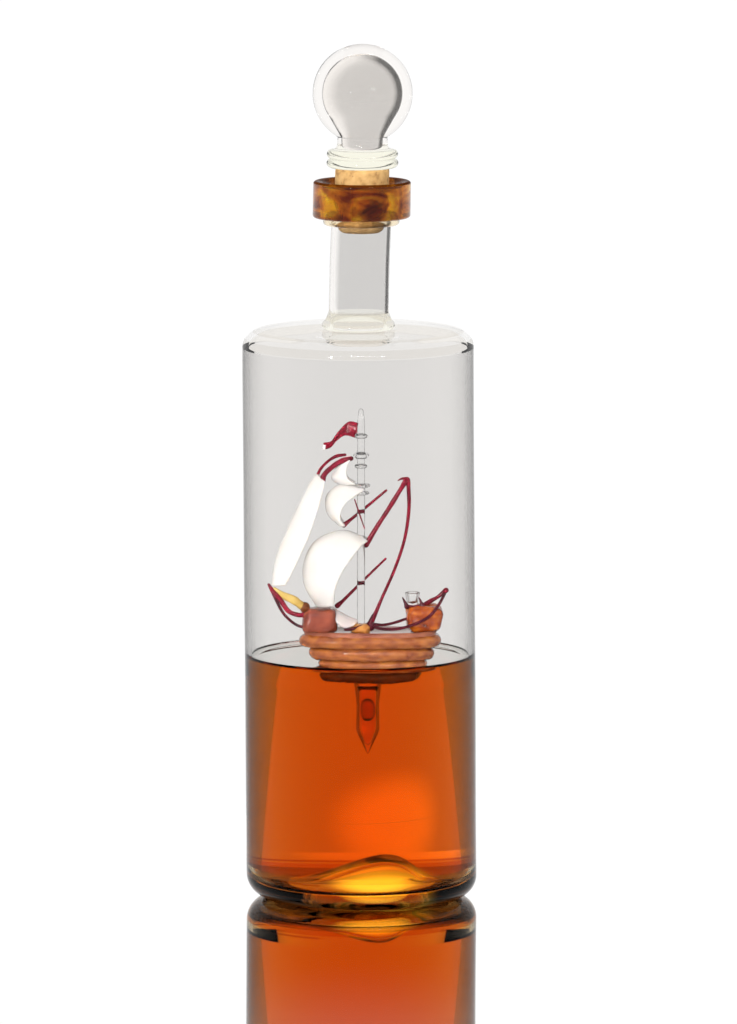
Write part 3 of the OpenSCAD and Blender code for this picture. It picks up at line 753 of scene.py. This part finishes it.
def make_lip():
    """Marbled amber collar, dished towards the mouth, and the pale stepped ring beneath it."""
    edge = 1.0
    top = COLLAR_TOP_Z
    collar = line((MOUTH_R, NECK_TOP_Z + 0.03), (COLLAR_R - edge, NECK_TOP_Z), 5)
    collar += arc(COLLAR_R - edge, NECK_TOP_Z + edge, edge, -90, 0, 10)
    collar += line((COLLAR_R, NECK_TOP_Z + edge), (COLLAR_R, top - edge), 8)[1:]
    collar += arc(COLLAR_R - edge, top - edge, edge, 0, 90, 10)
    collar += line((COLLAR_R - 2.6, top - 0.2), (MOUTH_R + 0.7, top - 1.6), 6) + [(MOUTH_R + 0.7, top - 1.6),
                                                                               (MOUTH_R, top - 2.2)]
    points, faces = lathe(collar, 160, wave=0.12, seed=11)
    band = add_mesh("amber_collar", leant(points), faces, COLLAR_GLASS, "bottle", ["lip_collar"])
    # Upward faces of the collar take the painted shade.
    paint(band, [COLLAR_TOP], lambda c, n: 1 if n.z > 0.35 else 0)
    ring_r = NECK_R + 0.05
    ring = [(ring_r, UNDERRING_Z)] + arc(UNDERRING_R - 1.1, UNDERRING_Z + 1.1, 1.1, -90, 0, 8)
    ring += [(UNDERRING_R, NECK_TOP_Z - 0.05), (ring_r, NECK_TOP_Z - 0.05)]
    points, faces = lathe(ring, 128, wave=0.1, seed=13)
    add_mesh("pale_under_ring", leant(points), faces, PALE_RING, "bottle", ["lip_underring"])


# ---------------------------------------------------------------- stopper

def make_cork():
    """The cork, its lower end chamfered, and darker below the top of the neck."""
    cork_r = high("stopper_cork").x
    stem_r = high("stopper_stem").x
    stem_z = low("stopper_stem").z
    cork = [(0, CORK_Z), (3, CORK_Z)] + line((6.3, CORK_Z), (7.4, CORK_Z + 0.8), 3)
    cork += line((7.6, CORK_Z + 1.1), (8.5, NECK_TOP_Z), 6)
    cork += line((cork_r, NECK_TOP_Z + 0.1), (cork_r, CORK_TOP_Z - 0.3), 14)
    cork += [(cork_r - 0.1, CORK_TOP_Z - 0.1), (cork_r - 0.4, CORK_TOP_Z), (stem_r, CORK_TOP_Z)]
    cork += [(stem_r, stem_z), (0, stem_z)]
    points, faces = lathe(cork, 96)
    obj = add_mesh("tapered_cork", leant(points), faces, CORK, "stopper", ["stopper_cork"])
    # Below the neck's top the cork takes a darker copy of its grain.
    paint(obj, [DARKER_LOW_CORK], lambda c, n: 1 if c.z < NECK_TOP_Z else 0)
    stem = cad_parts["stopper_stem"].data
    stem.materials.clear()
    stem.materials.append(ROD_GLASS)


def make_ball():
    """The two stacked beads and the thick-walled ball, one piece of glass, with a bulb-shaped air space."""
    bead_h = (BEADS_TOP_Z - CORK_TOP_Z) / 2
    mid = BEADS_R - bead_h / 2
    throat = 8.45
    skin = [(0, CORK_TOP_Z + 0.06)] + arc(mid, CORK_TOP_Z + 0.06 + bead_h / 2, bead_h / 2, -90, 76, 14)
    skin += arc(mid - 0.1, CORK_TOP_Z + bead_h * 1.5, bead_h / 2, -70, 84, 14)
    skin += [(throat + 1.3, BEADS_TOP_Z + 0.1), (throat + 0.6, BEADS_TOP_Z + 0.5),
             (throat + 0.15, BEADS_TOP_Z + 1.2)]
    skin += arc(0, BALL_Z, BALL_R, -math.degrees(math.acos(throat / BALL_R)), 90, 44)
    skin[-1] = (0, skin[-1][1])
    bulb_r, bulb_neck_r = 12.0, 6.2
    hollow = arc(0, BALL_Z, bulb_r, 90, -34, 34)
    hollow[0] = (0, hollow[0][1])
    hollow += line((hollow[-1][0] - 0.5, hollow[-1][1] - 0.8), (bulb_neck_r + 0.6, BALL_Z - bulb_r - 0.2), 6)
    hollow += [(bulb_neck_r + 0.6, BALL_Z - bulb_r - 0.2), (bulb_neck_r + 0.15, BALL_Z - bulb_r - 1.4),
               (bulb_neck_r, BALL_Z - bulb_r - 2.6), (bulb_neck_r, BEADS_TOP_Z + 0.9),
               (bulb_neck_r - 0.5, BEADS_TOP_Z + 0.1), (bulb_neck_r - 1.4, BEADS_TOP_Z - 0.3),
               (0, BEADS_TOP_Z - 0.4)]
    outer, inner = lathe(skin, 160, wave=0.18, seed=19), lathe(hollow, 160, wave=0.5, seed=21)
    obj = two_skins("blown_ball", (leant(outer[0]), outer[1]), (leant(inner[0]), inner[1]), (0, 0, 0),
                    BALL_GLASS,
                    BALL_INNER, "stopper", "stopper_ball")
    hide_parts("stopper_ball", "stopper_beads")
    obj.data.materials.append(BEAD_GLASS)
    for face in obj.data.polygons:
        if face.material_index == 0 and face.center.z < (BEADS_TOP_Z + 0.2) * MM:
            face.material_index = 2


# ---------------------------------------------------------------- liquid

def make_liquid():
    """The spirit, with a meniscus. It reaches into the glass so that no air shows between them, and
    almost to the outside below the meniscus, as far as a real wall's bending would show its colour."""
    into_glass = 1.8
    climb = 1.3
    reach = 3.0
    wall_r = INNER_R + 0.6
    seen_r = INNER_R + into_glass
    profile = floor_outline(into_glass) + line((seen_r, 13), (seen_r, LEVEL_Z - 12), 6)
    profile += line((seen_r, LEVEL_Z - 12), (seen_r, LEVEL_Z - 6), 4)
    profile += line((seen_r, LEVEL_Z - 6), (wall_r, LEVEL_Z - 0.5), 6) + line((wall_r, LEVEL_Z - 0.5),
                                                                              (wall_r, LEVEL_Z + climb), 3)
    for i in range(13):
        t = i / 12
        profile.append((wall_r - reach * t, LEVEL_Z + climb * (1 - t) ** 2.6))
    profile += line((wall_r - reach - 0.6, LEVEL_Z), (4, LEVEL_Z), 10) + [(0, LEVEL_Z)]
    points, faces = lathe(profile, 192)
    obj = add_mesh("amber_liquid", leant(points), faces, SPIRIT, None, ["liquid"])
    paint(obj, [SPIRIT_TOP], lambda c, n: 1 if n.z > 0.6 and c.z > LEVEL_Z - 1 else 0)
    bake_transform(obj)
    return obj


# ---------------------------------------------------------------- ship

def ship(name, shape, material, nodes):
    """One fused piece of the ship, moved to where the ship floats."""
    points = [Vector(p) + Vector((0, SHIP_Y, 0)) for p in shape[0]]
    return add_mesh(name, points, shape[1], material, "ship", nodes)


def ship_box(node):
    """Corners of a ship's node, measured from the ship's own middle line."""
    off = Vector((0, SHIP_Y, 0))
    return low(node) - off, high(node) - off


def plan_point(a, fore, aft, half):
    """A point on the boat-shaped plan: sharp at the bow, full at the stern."""
    middle = (fore + aft) / 2 + 1.5
    c, s = math.cos(a), math.sin(a)
    if c < 0:
        return middle + (middle - fore) * c, half * math.copysign(abs(s) ** 1.15, s)
    return middle + (aft - middle) * c, half * math.copysign(abs(s) ** 0.75, s)


def coil(z, fore, aft, half, r, seed, steps=220):
    """One wound strake of the hull: a thick rod laid round the boat's plan."""
    points, radii = [], []
    for i in range(steps):
        a = 2 * math.pi * i / steps
        x, y = plan_point(a, fore + r, aft - r, half - r)
        sway = noise.noise(Vector((math.cos(a) * 1.6, math.sin(a) * 1.6, seed)))
        points.append((x, y, z + 0.35 * sway))
        slow = noise.noise(Vector((math.cos(a) * 3, math.sin(a) * 3, seed + 9)))
        quick = noise.noise(Vector((math.cos(a) * 11, math.sin(a) * 11, seed + 19)))
        radii.append(r * (1 + 0.07 * slow + 0.09 * quick))
    return rod(points, radii, sides=24, closed=True)


def plate(z0, z1, fore, aft, half, dish, steps=96, rings=10):
    """A closed boat-shaped plate between two heights, its top dished by dish."""
    levels = [(j / rings, z0) for j in range(rings + 1)]
    levels += [(j / rings, z1) for j in range(rings, -1, -1)]
    verts, loops = [], []
    for scale, z in levels:
        if scale == 0:
            loops.append([len(verts)])
            verts.append(((fore + aft) / 2, 0, z - (dish if z == z1 else 0)))
            continue
        ring = []
        for i in range(steps):
            x, y = plan_point(2 * math.pi * i / steps, fore, aft, half)
            x = (fore + aft) / 2 + (x - (fore + aft) / 2) * scale
            drop = dish * (1 - scale ** 2) if z == z1 else 0
            ring.append(len(verts))
            verts.append((x, y * scale, z - drop))
        loops.append(ring)
    return verts, bridged(loops)


def make_hull():
    """Four wound strakes, the deck between them and the bottom that shuts the air space."""
    r = STRAKE_H / 2 + 0.1
    strakes = [("hull_strake_top", 0), ("hull_strake_mid", 1), ("hull_strake_low", 2)]
    for node, level in strakes:
        z = DECK_Z - STRAKE_H * (level + 0.5)
        lo, hi = ship_box(node)
        parts = [coil(z, lo.x, hi.x, hi.y, r, 5 + level)]
        parts.append(coil(z - 0.9, lo.x + 0.35, hi.x - 0.3, hi.y - 0.25, r * 0.55, 25 + level))
        ship("wound_" + node[5:], joined(parts), HULL_GLASS, [node])
    lo, hi = ship_box("hull_bottom")
    z = (lo.z + hi.z) / 2
    bottom = [coil(z, lo.x, hi.x, hi.y, r, 9), plate(z - r * 0.8, z + r * 0.6, lo.x + 2, hi.x - 2, hi.y - 1.6,
                                                     0)]
    ship("hull_floor", joined(bottom), KEEL_DARK, ["hull_bottom"])
    lo, hi = ship_box("deck")
    ship("deck_plate", plate(DECK_Z - 1.2, DECK_TOP_Z - 0.2, lo.x, hi.x, hi.y + 0.4, 0.9), DECK_GLASS,
         ["deck"])


def make_castles():
    """Forecastle, aftercastle and the small clear cup and dark points at the stern."""
    lo, hi = ship_box("forecastle")
    centre = (lo + hi) / 2
    half = (hi - lo) / 2
    ship("forecastle_block", lump(centre - Vector((0, 0, 0.4)), half + Vector((0, 0, 0.5)), 4.5, seed=2,
                                  rough=0.10, waist=lambda t: 1.0 - 0.06 * t), FORE_GLASS,
         ["forecastle"])
    lo, hi = ship_box("aftercastle")
    centre = (lo + hi) / 2
    half = (hi - lo) / 2
    ship("aftercastle_block", lump(centre - Vector((0, 0, 0.4)), half + Vector((0, 0, 0.6)), 3.4, seed=5,
                                   rough=0.12, waist=lambda t: 1.0 + 0.04 * t - 0.10 * max(0, -t - 0.35)),
         AMBER_GLASS, ["aftercastle"])
    lo, hi = ship_box("stern_cup")
    x, y, z = (lo.x + hi.x) / 2, (lo.y + hi.y) / 2, lo.z
    h = hi.z - lo.z
    cup = [(0, z)] + line((1.7, z), (2.5, z + h - 0.3), 8) + arc(2.15, z + h - 0.35, 0.35, 0, 180, 8)
    cup += line((1.8, z + h - 0.4), (1.1, z + 0.9), 8) + [(0, z + 0.8)]
    points, faces = lathe(cup, 48)
    ship("clear_stern_cup", ([Vector(p) + Vector((x, y, 0)) for p in points], faces), ROD_GLASS,
         ["stern_cup"])
    lo, hi = ship_box("stern_prongs")
    y = (lo.y + hi.y) / 2
    prongs = []
    for px, tilt in ((lo.x + 0.9, -0.9), (hi.x - 0.9, -0.8)):
        path = [(px + 0.5, y, lo.z), (px, y, lo.z + 1.2), (px + tilt, y, hi.z)]
        prongs.append(rod(path, [0.9, 0.55, 0.2], 12))
    prongs.append(rod([(lo.x + 1.2, y, lo.z + 0.3), ((lo.x + hi.x) / 2, y - 0.3, lo.z + 0.1),
                       (hi.x - 0.8, y, lo.z + 0.4)], [0.45, 0.4, 0.45], 12))
    ship("stern_points", joined(prongs), DARK_GLASS, ["stern_prongs"])


def make_mast():
    """Clear glass mast with its rings and the orange mound at its foot."""
    mast = [(0, DECK_TOP_Z - 1)] + line((MAST_R, DECK_TOP_Z - 1), (MAST_R, MAST_TOP_Z - 5), 30)
    mast += line((MAST_R, MAST_TOP_Z - 5), (0.85, MAST_TOP_Z - 0.7), 6)
    mast += arc(0, MAST_TOP_Z - 0.85, 0.85, 10, 90, 6)
    mast[-1] = (0, MAST_TOP_Z)
    points, faces = lathe(mast, 40, wave=0.25, seed=31)
    shift = Vector((MAST_X, 0, 0))
    ship("clear_mast", ([Vector(p) + shift for p in points], faces), ROD_GLASS, ["mast"])
    rings = []
    for above, r, wide in ((67.2, 0.8, 0.9), (60.6, 1.1, 1.3), (57.0, 0.7, 0.8), (50.4, 0.8, 1.9),
                           (47.9, 0.7, 1.5)):
        z = DECK_Z + above
        ring = [(MAST_R - 0.1, z - r)] + [(MAST_R + wide * x, z + r * y) for x,
                                          y in arc(0, 0, 1, -80, 80, 14)]
        ring += [(MAST_R - 0.1, z + r)]
        rings.append(lathe(ring, 40, wave=0.5, seed=above))
    points, faces = joined(rings)
    ship("mast_collars", ([p + shift for p in points], faces), RING_GLASS, ["mast_rings"])
    lo, hi = ship_box("mast_step")
    mound = lump((MAST_X, 0, lo.z + 0.2), (3.6, 4.2, 1.9), 2.4, seed=8, rough=0.2)
    ship("mast_mound", mound, MOUND_GLASS, ["mast_step"])


def make_sails():
    """Opal glass sails, bellied towards the bow."""
    d = DECK_Z
    foresail = sail([(-14.2, d + 54.2), (-16.5, d + 51.0), (-20.3, d + 43.6), (-24.2, d + 34.8),
                     (-27.8, d + 25.4),
                     (-29.3, d + 16.4)],
                    [(-11.6, d + 52.2), (-12.5, d + 48.0), (-14.7, d + 40.4), (-17.1, d + 33.6),
                     (-20.6, d + 25.6),
                     (-24.8, d + 17.0)], [3.6, 4.6, 5.0, 5.0, 4.6, 3.8])
    ship("fore_sail", cloth(foresail, 44, 26), OPAL_GLASS, ["foresail"])
    gallant = sail([(-4.6, d + 59.6), (-7.6, d + 56.4), (-9.2, d + 52.8), (-6.0, d + 50.6)],
                   [(-3.2, d + 59.2), (-4.4, d + 56.6), (-4.2, d + 53.4), (-1.4, d + 51.2)],
                   [1.8, 2.8, 3.4, 3.2])
    ship("topgallant", cloth(gallant, 26, 22, 0.8), OPAL_GLASS, ["topgallant_sail"])
    topsail = sail([(0.4, d + 50.0), (-5.9, d + 50.8), (-10.4, d + 47.6), (-11.2, d + 44.1),
                    (-10.3, d + 40.4),
                    (-6.5, d + 36.8)],
                   [(1.8, d + 49.0), (-2.0, d + 47.0), (-5.1, d + 44.4), (-6.5, d + 41.4), (-6.3, d + 38.9),
                    (-5.0, d + 37.2)], [2.2, 4.2, 5.4, 5.6, 5.2, 4.0])
    ship("top_sail", cloth(topsail, 34, 28), OPAL_GLASS, ["topsail"])
    mainsail = sail([(1.0, d + 32.8), (-6.1, d + 34.8), (-14.4, d + 31.6), (-18.3, d + 24.6),
                     (-18.4, d + 17.0),
                     (-14.2, d + 9.4)],
                    [(2.6, d + 32.0), (-0.2, d + 29.8), (-3.6, d + 25.4), (-6.6, d + 20.6), (-8.4, d + 15.4),
                     (-8.6, d + 10.2)], [3.2, 6.4, 8.0, 8.4, 7.8, 6.0])
    ship("main_sail", cloth(mainsail, 40, 34, 1.05), OPAL_GLASS, ["mainsail"])
    footsail = sail([(-10.4, d + 9.6), (-7.0, d + 7.4), (-3.4, d + 5.4), (-0.6, d + 4.4)],
                    [(-9.6, d + 8.0), (-8.0, d + 4.6), (-5.2, d + 2.6), (-2.2, d + 3.0)],
                    [3.4, 4.6, 4.2, 2.6])
    ship("foot_sail_sheet", cloth(footsail, 26, 24, 0.85), FOOT_GLASS, ["foot_sail"])


def make_pennant():
    """The dark red pennant, waved and curled pale at its tip."""
    d = DECK_Z
    middle = [(MAST_X - 1.2, 0, d + 69.0), (-4.4, 0.6, d + 69.6), (-7.4, -0.5, d + 67.2),
              (-9.8, -0.4, d + 64.4),
              (-12.4, 0.5, d + 63.6)]
    path = smooth_path(middle, 12)
    halves = [v.x for v in smooth_path([(2.5, 0, 0), (2.3, 0, 0), (1.7, 0, 0), (1.3, 0, 0), (1.2, 0, 0)], 12)]

    def surface(u, v):
        place = u * (len(path) - 1)
        i = min(int(place), len(path) - 2)
        t = place - i
        p = path[i].lerp(path[i + 1], t)
        half = halves[i] + (halves[i + 1] - halves[i]) * t
        s = 2 * v - 1
        return p + Vector((0.25 * half * s, 0.6 * math.sin(u * 7) * s, half * s))

    flag = ship("waving_pennant", cloth(surface, 34, 14, 0.9), PENNANT_GLASS, ["pennant"])
    paint(flag, [OPAL_GLASS], lambda c, n: 1 if c.x < -11.6 and c.z < d + 64.2 else 0)


def make_rigging():
    """The drawn red rods of the rigging, the two knobs and the bow and stern spars."""
    d = DECK_Z
    wine, dark = WINE_GLASS, DARK_GLASS
    near = [(-12.6, -2.4, d + 51.4), (-12.0, -2.2, d + 54.2), (-9.4, -1.8, d + 56.8), (-6.2, -1.4, d + 58.8),
            (-2.9, -1.2, d + 59.7)]
    ship("yard_near", rod(near, [1.0, 0.9, 0.85, 0.95, 0.75], ripple=0.08), wine, ["fore_yard_near"])
    far = [(-14.4, 3.4, d + 53.0), (-13.2, 3.2, d + 55.6), (-10.8, 2.8, d + 58.2), (-8.0, 2.2, d + 60.0),
           (-5.0, 1.7, d + 60.6)]
    ship("yard_far", rod(far, [0.6, 0.5, 0.5, 0.6, 0.5], ripple=0.08), wine, ["fore_yard_far"])
    upper = [(-5.4, 1.3, d + 36.8), (-3.4, 1.5, d + 38.4), (2.4, 1.9, d + 43.1), (8.8, 2.4, d + 48.4)]
    thread = rod([(-1.8, -2.4, d + 46.0), (-0.4, -2.5, d + 41.8), (1.5, -2.4, d + 36.2)], [0.2, 0.26, 0.2],
                 10)
    ship("brace_upper", joined([rod(upper, [0.95, 0.6, 0.5, 0.42]), thread]), wine, ["upper_brace"])
    lower = [(-7.6, 1.2, d + 9.4), (-5.2, 1.4, d + 11.6), (2.0, 1.9, d + 18.8), (8.6, 2.4, d + 25.2)]
    ship("brace_lower", rod(lower, [0.95, 0.6, 0.45, 0.38]), wine, ["lower_brace"])
    spar = [PEAK + Vector((0, 0, 0.2)), PEAK + Vector((-5.2, 0, -8.4)), PEAK + Vector((-9.8, 0, -15.6)),
            Vector((MAST_X + 1.7, 0, d + 30.2))]
    ship("mizzen_yard", rod(spar, [0.85, 0.8, 0.8, 0.95], ripple=0.1), wine, ["mizzen_spar"])
    stay = [PEAK + Vector((0.8, 0, -0.3)), PEAK + Vector((1.0, -0.1, -9.6)), (14.9, -0.3, d + 32.0),
            (11.6, -0.8, d + 22.0), (7.4, -1.2, d + 12.4), KNOT + Vector((0.8, 0, 1.4))]
    ship("mizzen_bow_stay", rod(stay, [0.75, 0.62, 0.55, 0.52, 0.55, 0.8]), wine, ["mizzen_stay"])
    knob = [lump(PEAK + Vector((0.3, 0, 0.3)), (1.15, 1.15, 1.25), 2, 24, 16, 0.1),
            rod([PEAK + Vector((0, 0, 1.0)), PEAK + Vector((-1.4, 0, 0.9)), PEAK + Vector((-2.6, 0, 0.3))],
                [0.5, 0.4, 0.2], 12)]
    ship("peak_blob", joined(knob), wine, ["peak_knob"])
    knot = [lump(KNOT + Vector((0, 0, -0.5)), (1.5, 1.4, 1.7), 2.2, 28, 20, 0.15),
            rod([KNOT + Vector((0, 0, 0)), KNOT + Vector((0.5, 0, 1.6)), KNOT + Vector((1.1, 0, 3.2))],
                [1.2, 0.85, 0.6], 16)]
    ship("knot_blob", joined(knot), dark, ["stay_knot"])
    sprit = [BOW_TIP + Vector((1.6, 0, -1.0)), BOW_TIP + Vector((4.4, 0, -3.2)), (-22.4, 0, d + 11.6),
             (-19.6, 0, d + 9.6)]
    ship("gold_sprit", rod(sprit, [0.55, 1.1, 1.45, 1.3], ripple=0.1), GOLD_GLASS, ["bowsprit"])
    ship("sprit_knob", lump((-18.6, 0, d + 9.0), (1.75, 1.7, 1.9), 2.2, 28, 20, 0.15), BROWN_GLASS,
         ["bow_knob"])
    tip = [BOW_TIP + Vector((-0.2, 0, 0.4)), BOW_TIP + Vector((1.4, -0.3, -2.2)), (-27.0, -0.8, d + 12.2),
           (-24.0, -1.5, d + 8.0), (-20.6, -2.0, d + 6.7), (-18.6, -2.2, d + 6.9)]
    ship("bow_rod_upper", rod(tip, [0.45, 0.85, 0.85, 0.8, 0.8, 0.8]), wine, ["bow_stay_upper"])
    under = [BOW_TIP + Vector((0.9, -0.3, -1.8)), (-27.9, -1.2, d + 11.4), (-25.4, -2.2, d + 7.0),
             (-21.8, -3.0, d + 3.8), (-18.7, -3.4, d + 2.6)]
    ship("bow_rod_lower", rod(under, [0.5, 0.5, 0.5, 0.48, 0.5]), dark, ["bow_stay_lower"])
    aft = [STERN_TIP + Vector((0, 0, 0.2)), STERN_TIP + Vector((-2.6, 0, -2.0)), STERN_TIP +
           Vector((-5.0, 0, -3.4)),
           (high("stern_spar").x - 7.6, 0, high("aftercastle").z - 0.2)]
    ship("stern_rod", rod(aft, [0.9, 0.6, 0.75, 0.85]), wine, ["stern_spar"])
    near_line = [STERN_TIP + Vector((-0.4, -0.4, -0.8)), (26.4, -3.8, d + 10.6), (23.4, -6.8, d + 7.2),
                 (19.8, -7.5, d + 5.0), (15.4, -7.6, d + 3.4), (11.4, -6.4, d + 2.5), (7.4, -4.2, d + 2.3),
                 KNOT + Vector((0.8, -0.5, -0.4))]
    ship("stern_line_low", rod(near_line, [0.5, 0.5, 0.55, 0.5, 0.5, 0.55, 0.55, 0.6]), dark,
         ["stern_line_near"])
    far_line = [KNOT + Vector((0.6, 0.2, 0.2)), (7.6, -1.2, d + 3.2), (11.4, -1.0, d + 3.9),
                (15.8, -1.2, d + 5.4)]
    ship("stern_line_high", rod(far_line, [0.55, 0.5, 0.48, 0.5]), dark, ["stern_line_far"])
    deck_rod = [KNOT + Vector((-0.4, 0, -0.4)), (0.6, -2.6, d + 3.0), (-2.4, -3.2, d + 2.1),
                (-5.0, -3.6, d + 1.9)]
    ship("deck_rod", rod(deck_rod, [0.6, 0.5, 0.5, 0.45]), dark, ["deck_line"])


def two_skins(name, outer, inner, shift, outside, inside, body, node):
    """A sealed hollow piece: an outer skin and an inner one that keeps its inward normals."""
    verts, faces = joined([outer, (inner[0], [f[::-1] for f in inner[1]])])
    mesh = bpy.data.meshes.new(name)
    mesh.from_pydata([tuple((Vector(p) + Vector(shift)) * MM) for p in verts], [], faces)
    mesh.materials.append(outside)
    mesh.materials.append(inside)
    split = len(outer[1])
    mesh.polygons.foreach_set("material_index", [0 if i < split else 1 for i in range(len(faces))])
    mesh.polygons.foreach_set("use_smooth", [True] * len(mesh.polygons))
    obj = bpy.data.objects.new(name, mesh)
    bpy.context.scene.collection.objects.link(obj)
    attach(obj, body)
    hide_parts(node)
    return obj


def make_keel():
    """Hollow pointed peg under the hull with a drop of glass in it."""
    r = 3.25
    z0, z1 = KEEL_TIP_Z, KEEL_TOP_Z
    outer = [(0, z0), (0.3, z0 + 0.4)] + line((0.5, z0 + 0.9), (r - 0.25, z0 + 7.3), 8)
    outer += [(r - 0.08, z0 + 7.9), (r, z0 + 8.6)] + line((r, z0 + 9.4), (r - 0.1, z0 + 16), 6)
    outer += line((r - 0.1, z0 + 17), (r + 0.2, z1 - 3), 5) + line((r + 0.5, z1 - 2), (r + 0.95, z1 + 0.4), 4)
    outer += [(r + 0.9, z1 + 0.6), (0, z1 + 0.6)]
    t = 0.95
    inner = [(0, z0 + 3.2)] + line((0.5, z0 + 3.8), (r - t - 0.1, z0 + 8.3), 8)
    inner += line((r - t, z0 + 9), (r - t, z1 - 2.6), 10) + arc(r - t - 1, z1 - 2.6, 1, 0, 90,
                                                                6) + [(0, z1 - 1.6)]
    shift = (KEEL_X, SHIP_Y, 0)
    two_skins("hollow_keel_peg", lathe(outer, 64, wave=0.25, seed=41), lathe(inner, 64), shift, KEEL_GLASS,
              KEEL_INNER, "ship", "keel_peg")
    lo, hi = ship_box("keel_ballast")
    middle = (lo + hi) / 2
    drop = lump((KEEL_X, 0, middle.z), (2.1, 2.1, (hi.z - lo.z) / 2), 2.2, 28, 24, 0.08)
    ship("keel_drop", drop, DROP_GLASS, ["keel_ballast"])


make_bottle()
make_lip()
make_cork()
make_ball()
make_liquid()
make_hull()
make_castles()
make_mast()
make_sails()
make_pennant()
make_rigging()
make_keel()


# ---------------------------------------------------------------- studio

def make_floor():
    """A glossy white sheet that mirrors the foot of the bottle."""
    material, tree, shader = new_material("studio_sheet")
    nodes, links = tree.nodes, tree.links
    mirror = nodes.new("ShaderNodeBsdfGlossy")
    mirror.inputs["Roughness"].default_value = 0.02
    mirror.inputs["Color"].default_value = (1, 1, 1, 1)
    white = nodes.new("ShaderNodeEmission")
    white.inputs["Strength"].default_value = 1.02
    place = nodes.new("ShaderNodeTexCoord")
    away = nodes.new("ShaderNodeVectorMath")
    away.operation = "LENGTH"
    step = nodes.new("ShaderNodeMapRange")
    step.interpolation_type = "SMOOTHSTEP"
    for key, number in (("From Min", 0.12), ("From Max", 0.50), ("To Min", 0.0), ("To Max", 0.16)):
        step.inputs[key].default_value = number
    mix = nodes.new("ShaderNodeMixShader")
    links.new(place.outputs["Object"], away.inputs[0])
    links.new(away.outputs["Value"], step.inputs["Value"])
    links.new(step.outputs["Result"], mix.inputs["Fac"])
    links.new(mirror.outputs["BSDF"], mix.inputs[1])
    links.new(white.outputs["Emission"], mix.inputs[2])
    links.new(mix.outputs["Shader"], nodes["Material Output"].inputs["Surface"])
    mesh = bpy.data.meshes.new("studio_sheet")
    s = 30.0
    mesh.from_pydata([(-s, -s, 0), (s, -s, 0), (s, s, 0), (-s, s, 0)], [], [(0, 1, 2, 3)])
    mesh.materials.append(material)
    floor = bpy.data.objects.new("studio_sheet", mesh)
    floor.location.z = -0.0002
    bpy.context.scene.collection.objects.link(floor)


def make_glow(name, centre, half, strength, colour=(1, 1, 1)):
    """A standing patch of light that fades to its rim: light that the bottle gathers on the table. It
    shows through glass only. Lengths in millimetres."""
    material, tree, shader = new_material(name)
    nodes, links = tree.nodes, tree.links
    place = nodes.new("ShaderNodeTexCoord")
    away = nodes.new("ShaderNodeVectorMath")
    away.operation = "LENGTH"
    step = nodes.new("ShaderNodeMapRange")
    step.interpolation_type = "SMOOTHSTEP"
    for key, number in (("From Min", 0.35), ("From Max", 1.0), ("To Min", strength), ("To Max", 0.0)):
        step.inputs[key].default_value = number
    light = nodes.new("ShaderNodeEmission")
    light.inputs["Color"].default_value = (*colour, 1)
    clear = nodes.new("ShaderNodeBsdfTransparent")
    both = nodes.new("ShaderNodeAddShader")
    links.new(place.outputs["Object"], away.inputs[0])
    links.new(away.outputs["Value"], step.inputs["Value"])
    links.new(step.outputs["Result"], light.inputs["Strength"])
    links.new(light.outputs["Emission"], both.inputs[0])
    links.new(clear.outputs["BSDF"], both.inputs[1])
    links.new(both.outputs["Shader"], nodes["Material Output"].inputs["Surface"])
    mesh = bpy.data.meshes.new(name)
    mesh.from_pydata([(-1, 0, 0), (1, 0, 0), (1, 0, 1), (-1, 0, 1)], [], [(0, 1, 2, 3)])
    mesh.materials.append(material)
    card = bpy.data.objects.new(name, mesh)
    card.location = Vector(centre) * MM
    card.scale = (half[0] * MM, 1, half[1] * MM)
    bpy.context.scene.collection.objects.link(card)
    card.visible_camera = False
    card.visible_diffuse = False
    card.visible_shadow = False


def add_light(name, place, target, size, power, colour=(1, 1, 1)):
    """A rectangular softbox aimed at a point."""
    data = bpy.data.lights.new(name, "AREA")
    data.shape = "RECTANGLE"
    data.size, data.size_y = size
    data.energy = power
    data.color = colour
    lamp = bpy.data.objects.new(name, data)
    lamp.location = place
    lamp.rotation_euler = (Vector(target) - Vector(place)).to_track_quat("-Z", "Y").to_euler()
    bpy.context.scene.collection.objects.link(lamp)
    return lamp


def make_studio():
    """White surroundings and two small front lights."""
    world = bpy.data.worlds.new("white_studio")
    world.use_nodes = True
    world.node_tree.nodes["Background"].inputs["Color"].default_value = (1, 1, 1, 1)
    world.node_tree.nodes["Background"].inputs["Strength"].default_value = 1.02
    bpy.context.scene.world = world
    middle = (0, 0, 0.15)
    add_light("front_strip", (0, -1.15, 0.62), middle, (1.3, 0.035), 7)
    add_light("front_window", (-0.62, -1.2, 0.42), middle, (0.08, 0.12), 8)


def make_camera():
    """Long lens, a little above the table."""
    data = bpy.data.cameras.new("camera")
    distance = 3.5
    elevation = math.radians(7.6)
    aim = Vector((2.87, 0, 131.0)) * MM
    data.lens = 364.4
    data.sensor_width = 36
    camera = bpy.data.objects.new("camera", data)
    camera.location = aim + Vector((0, -distance * math.cos(elevation), distance * math.sin(elevation)))
    camera.rotation_euler = (math.pi / 2 - elevation, 0, 0)
    bpy.context.scene.collection.objects.link(camera)
    bpy.context.scene.camera = camera


make_floor()
make_glow("base_glow", (5.5, 2, -0.1), (19, 13), 1.8, (1, 0.84, 0.12))
make_glow("far_glow", (-17.0, 170, -0.1), (38, 22), 0.7)
make_studio()
make_camera()
bpy.context.scene.view_settings.view_transform = "Standard"

for name in ("blown_body", "pale_under_ring", "blown_ball", "amber_liquid"):
    bpy.data.objects[name].visible_shadow = False
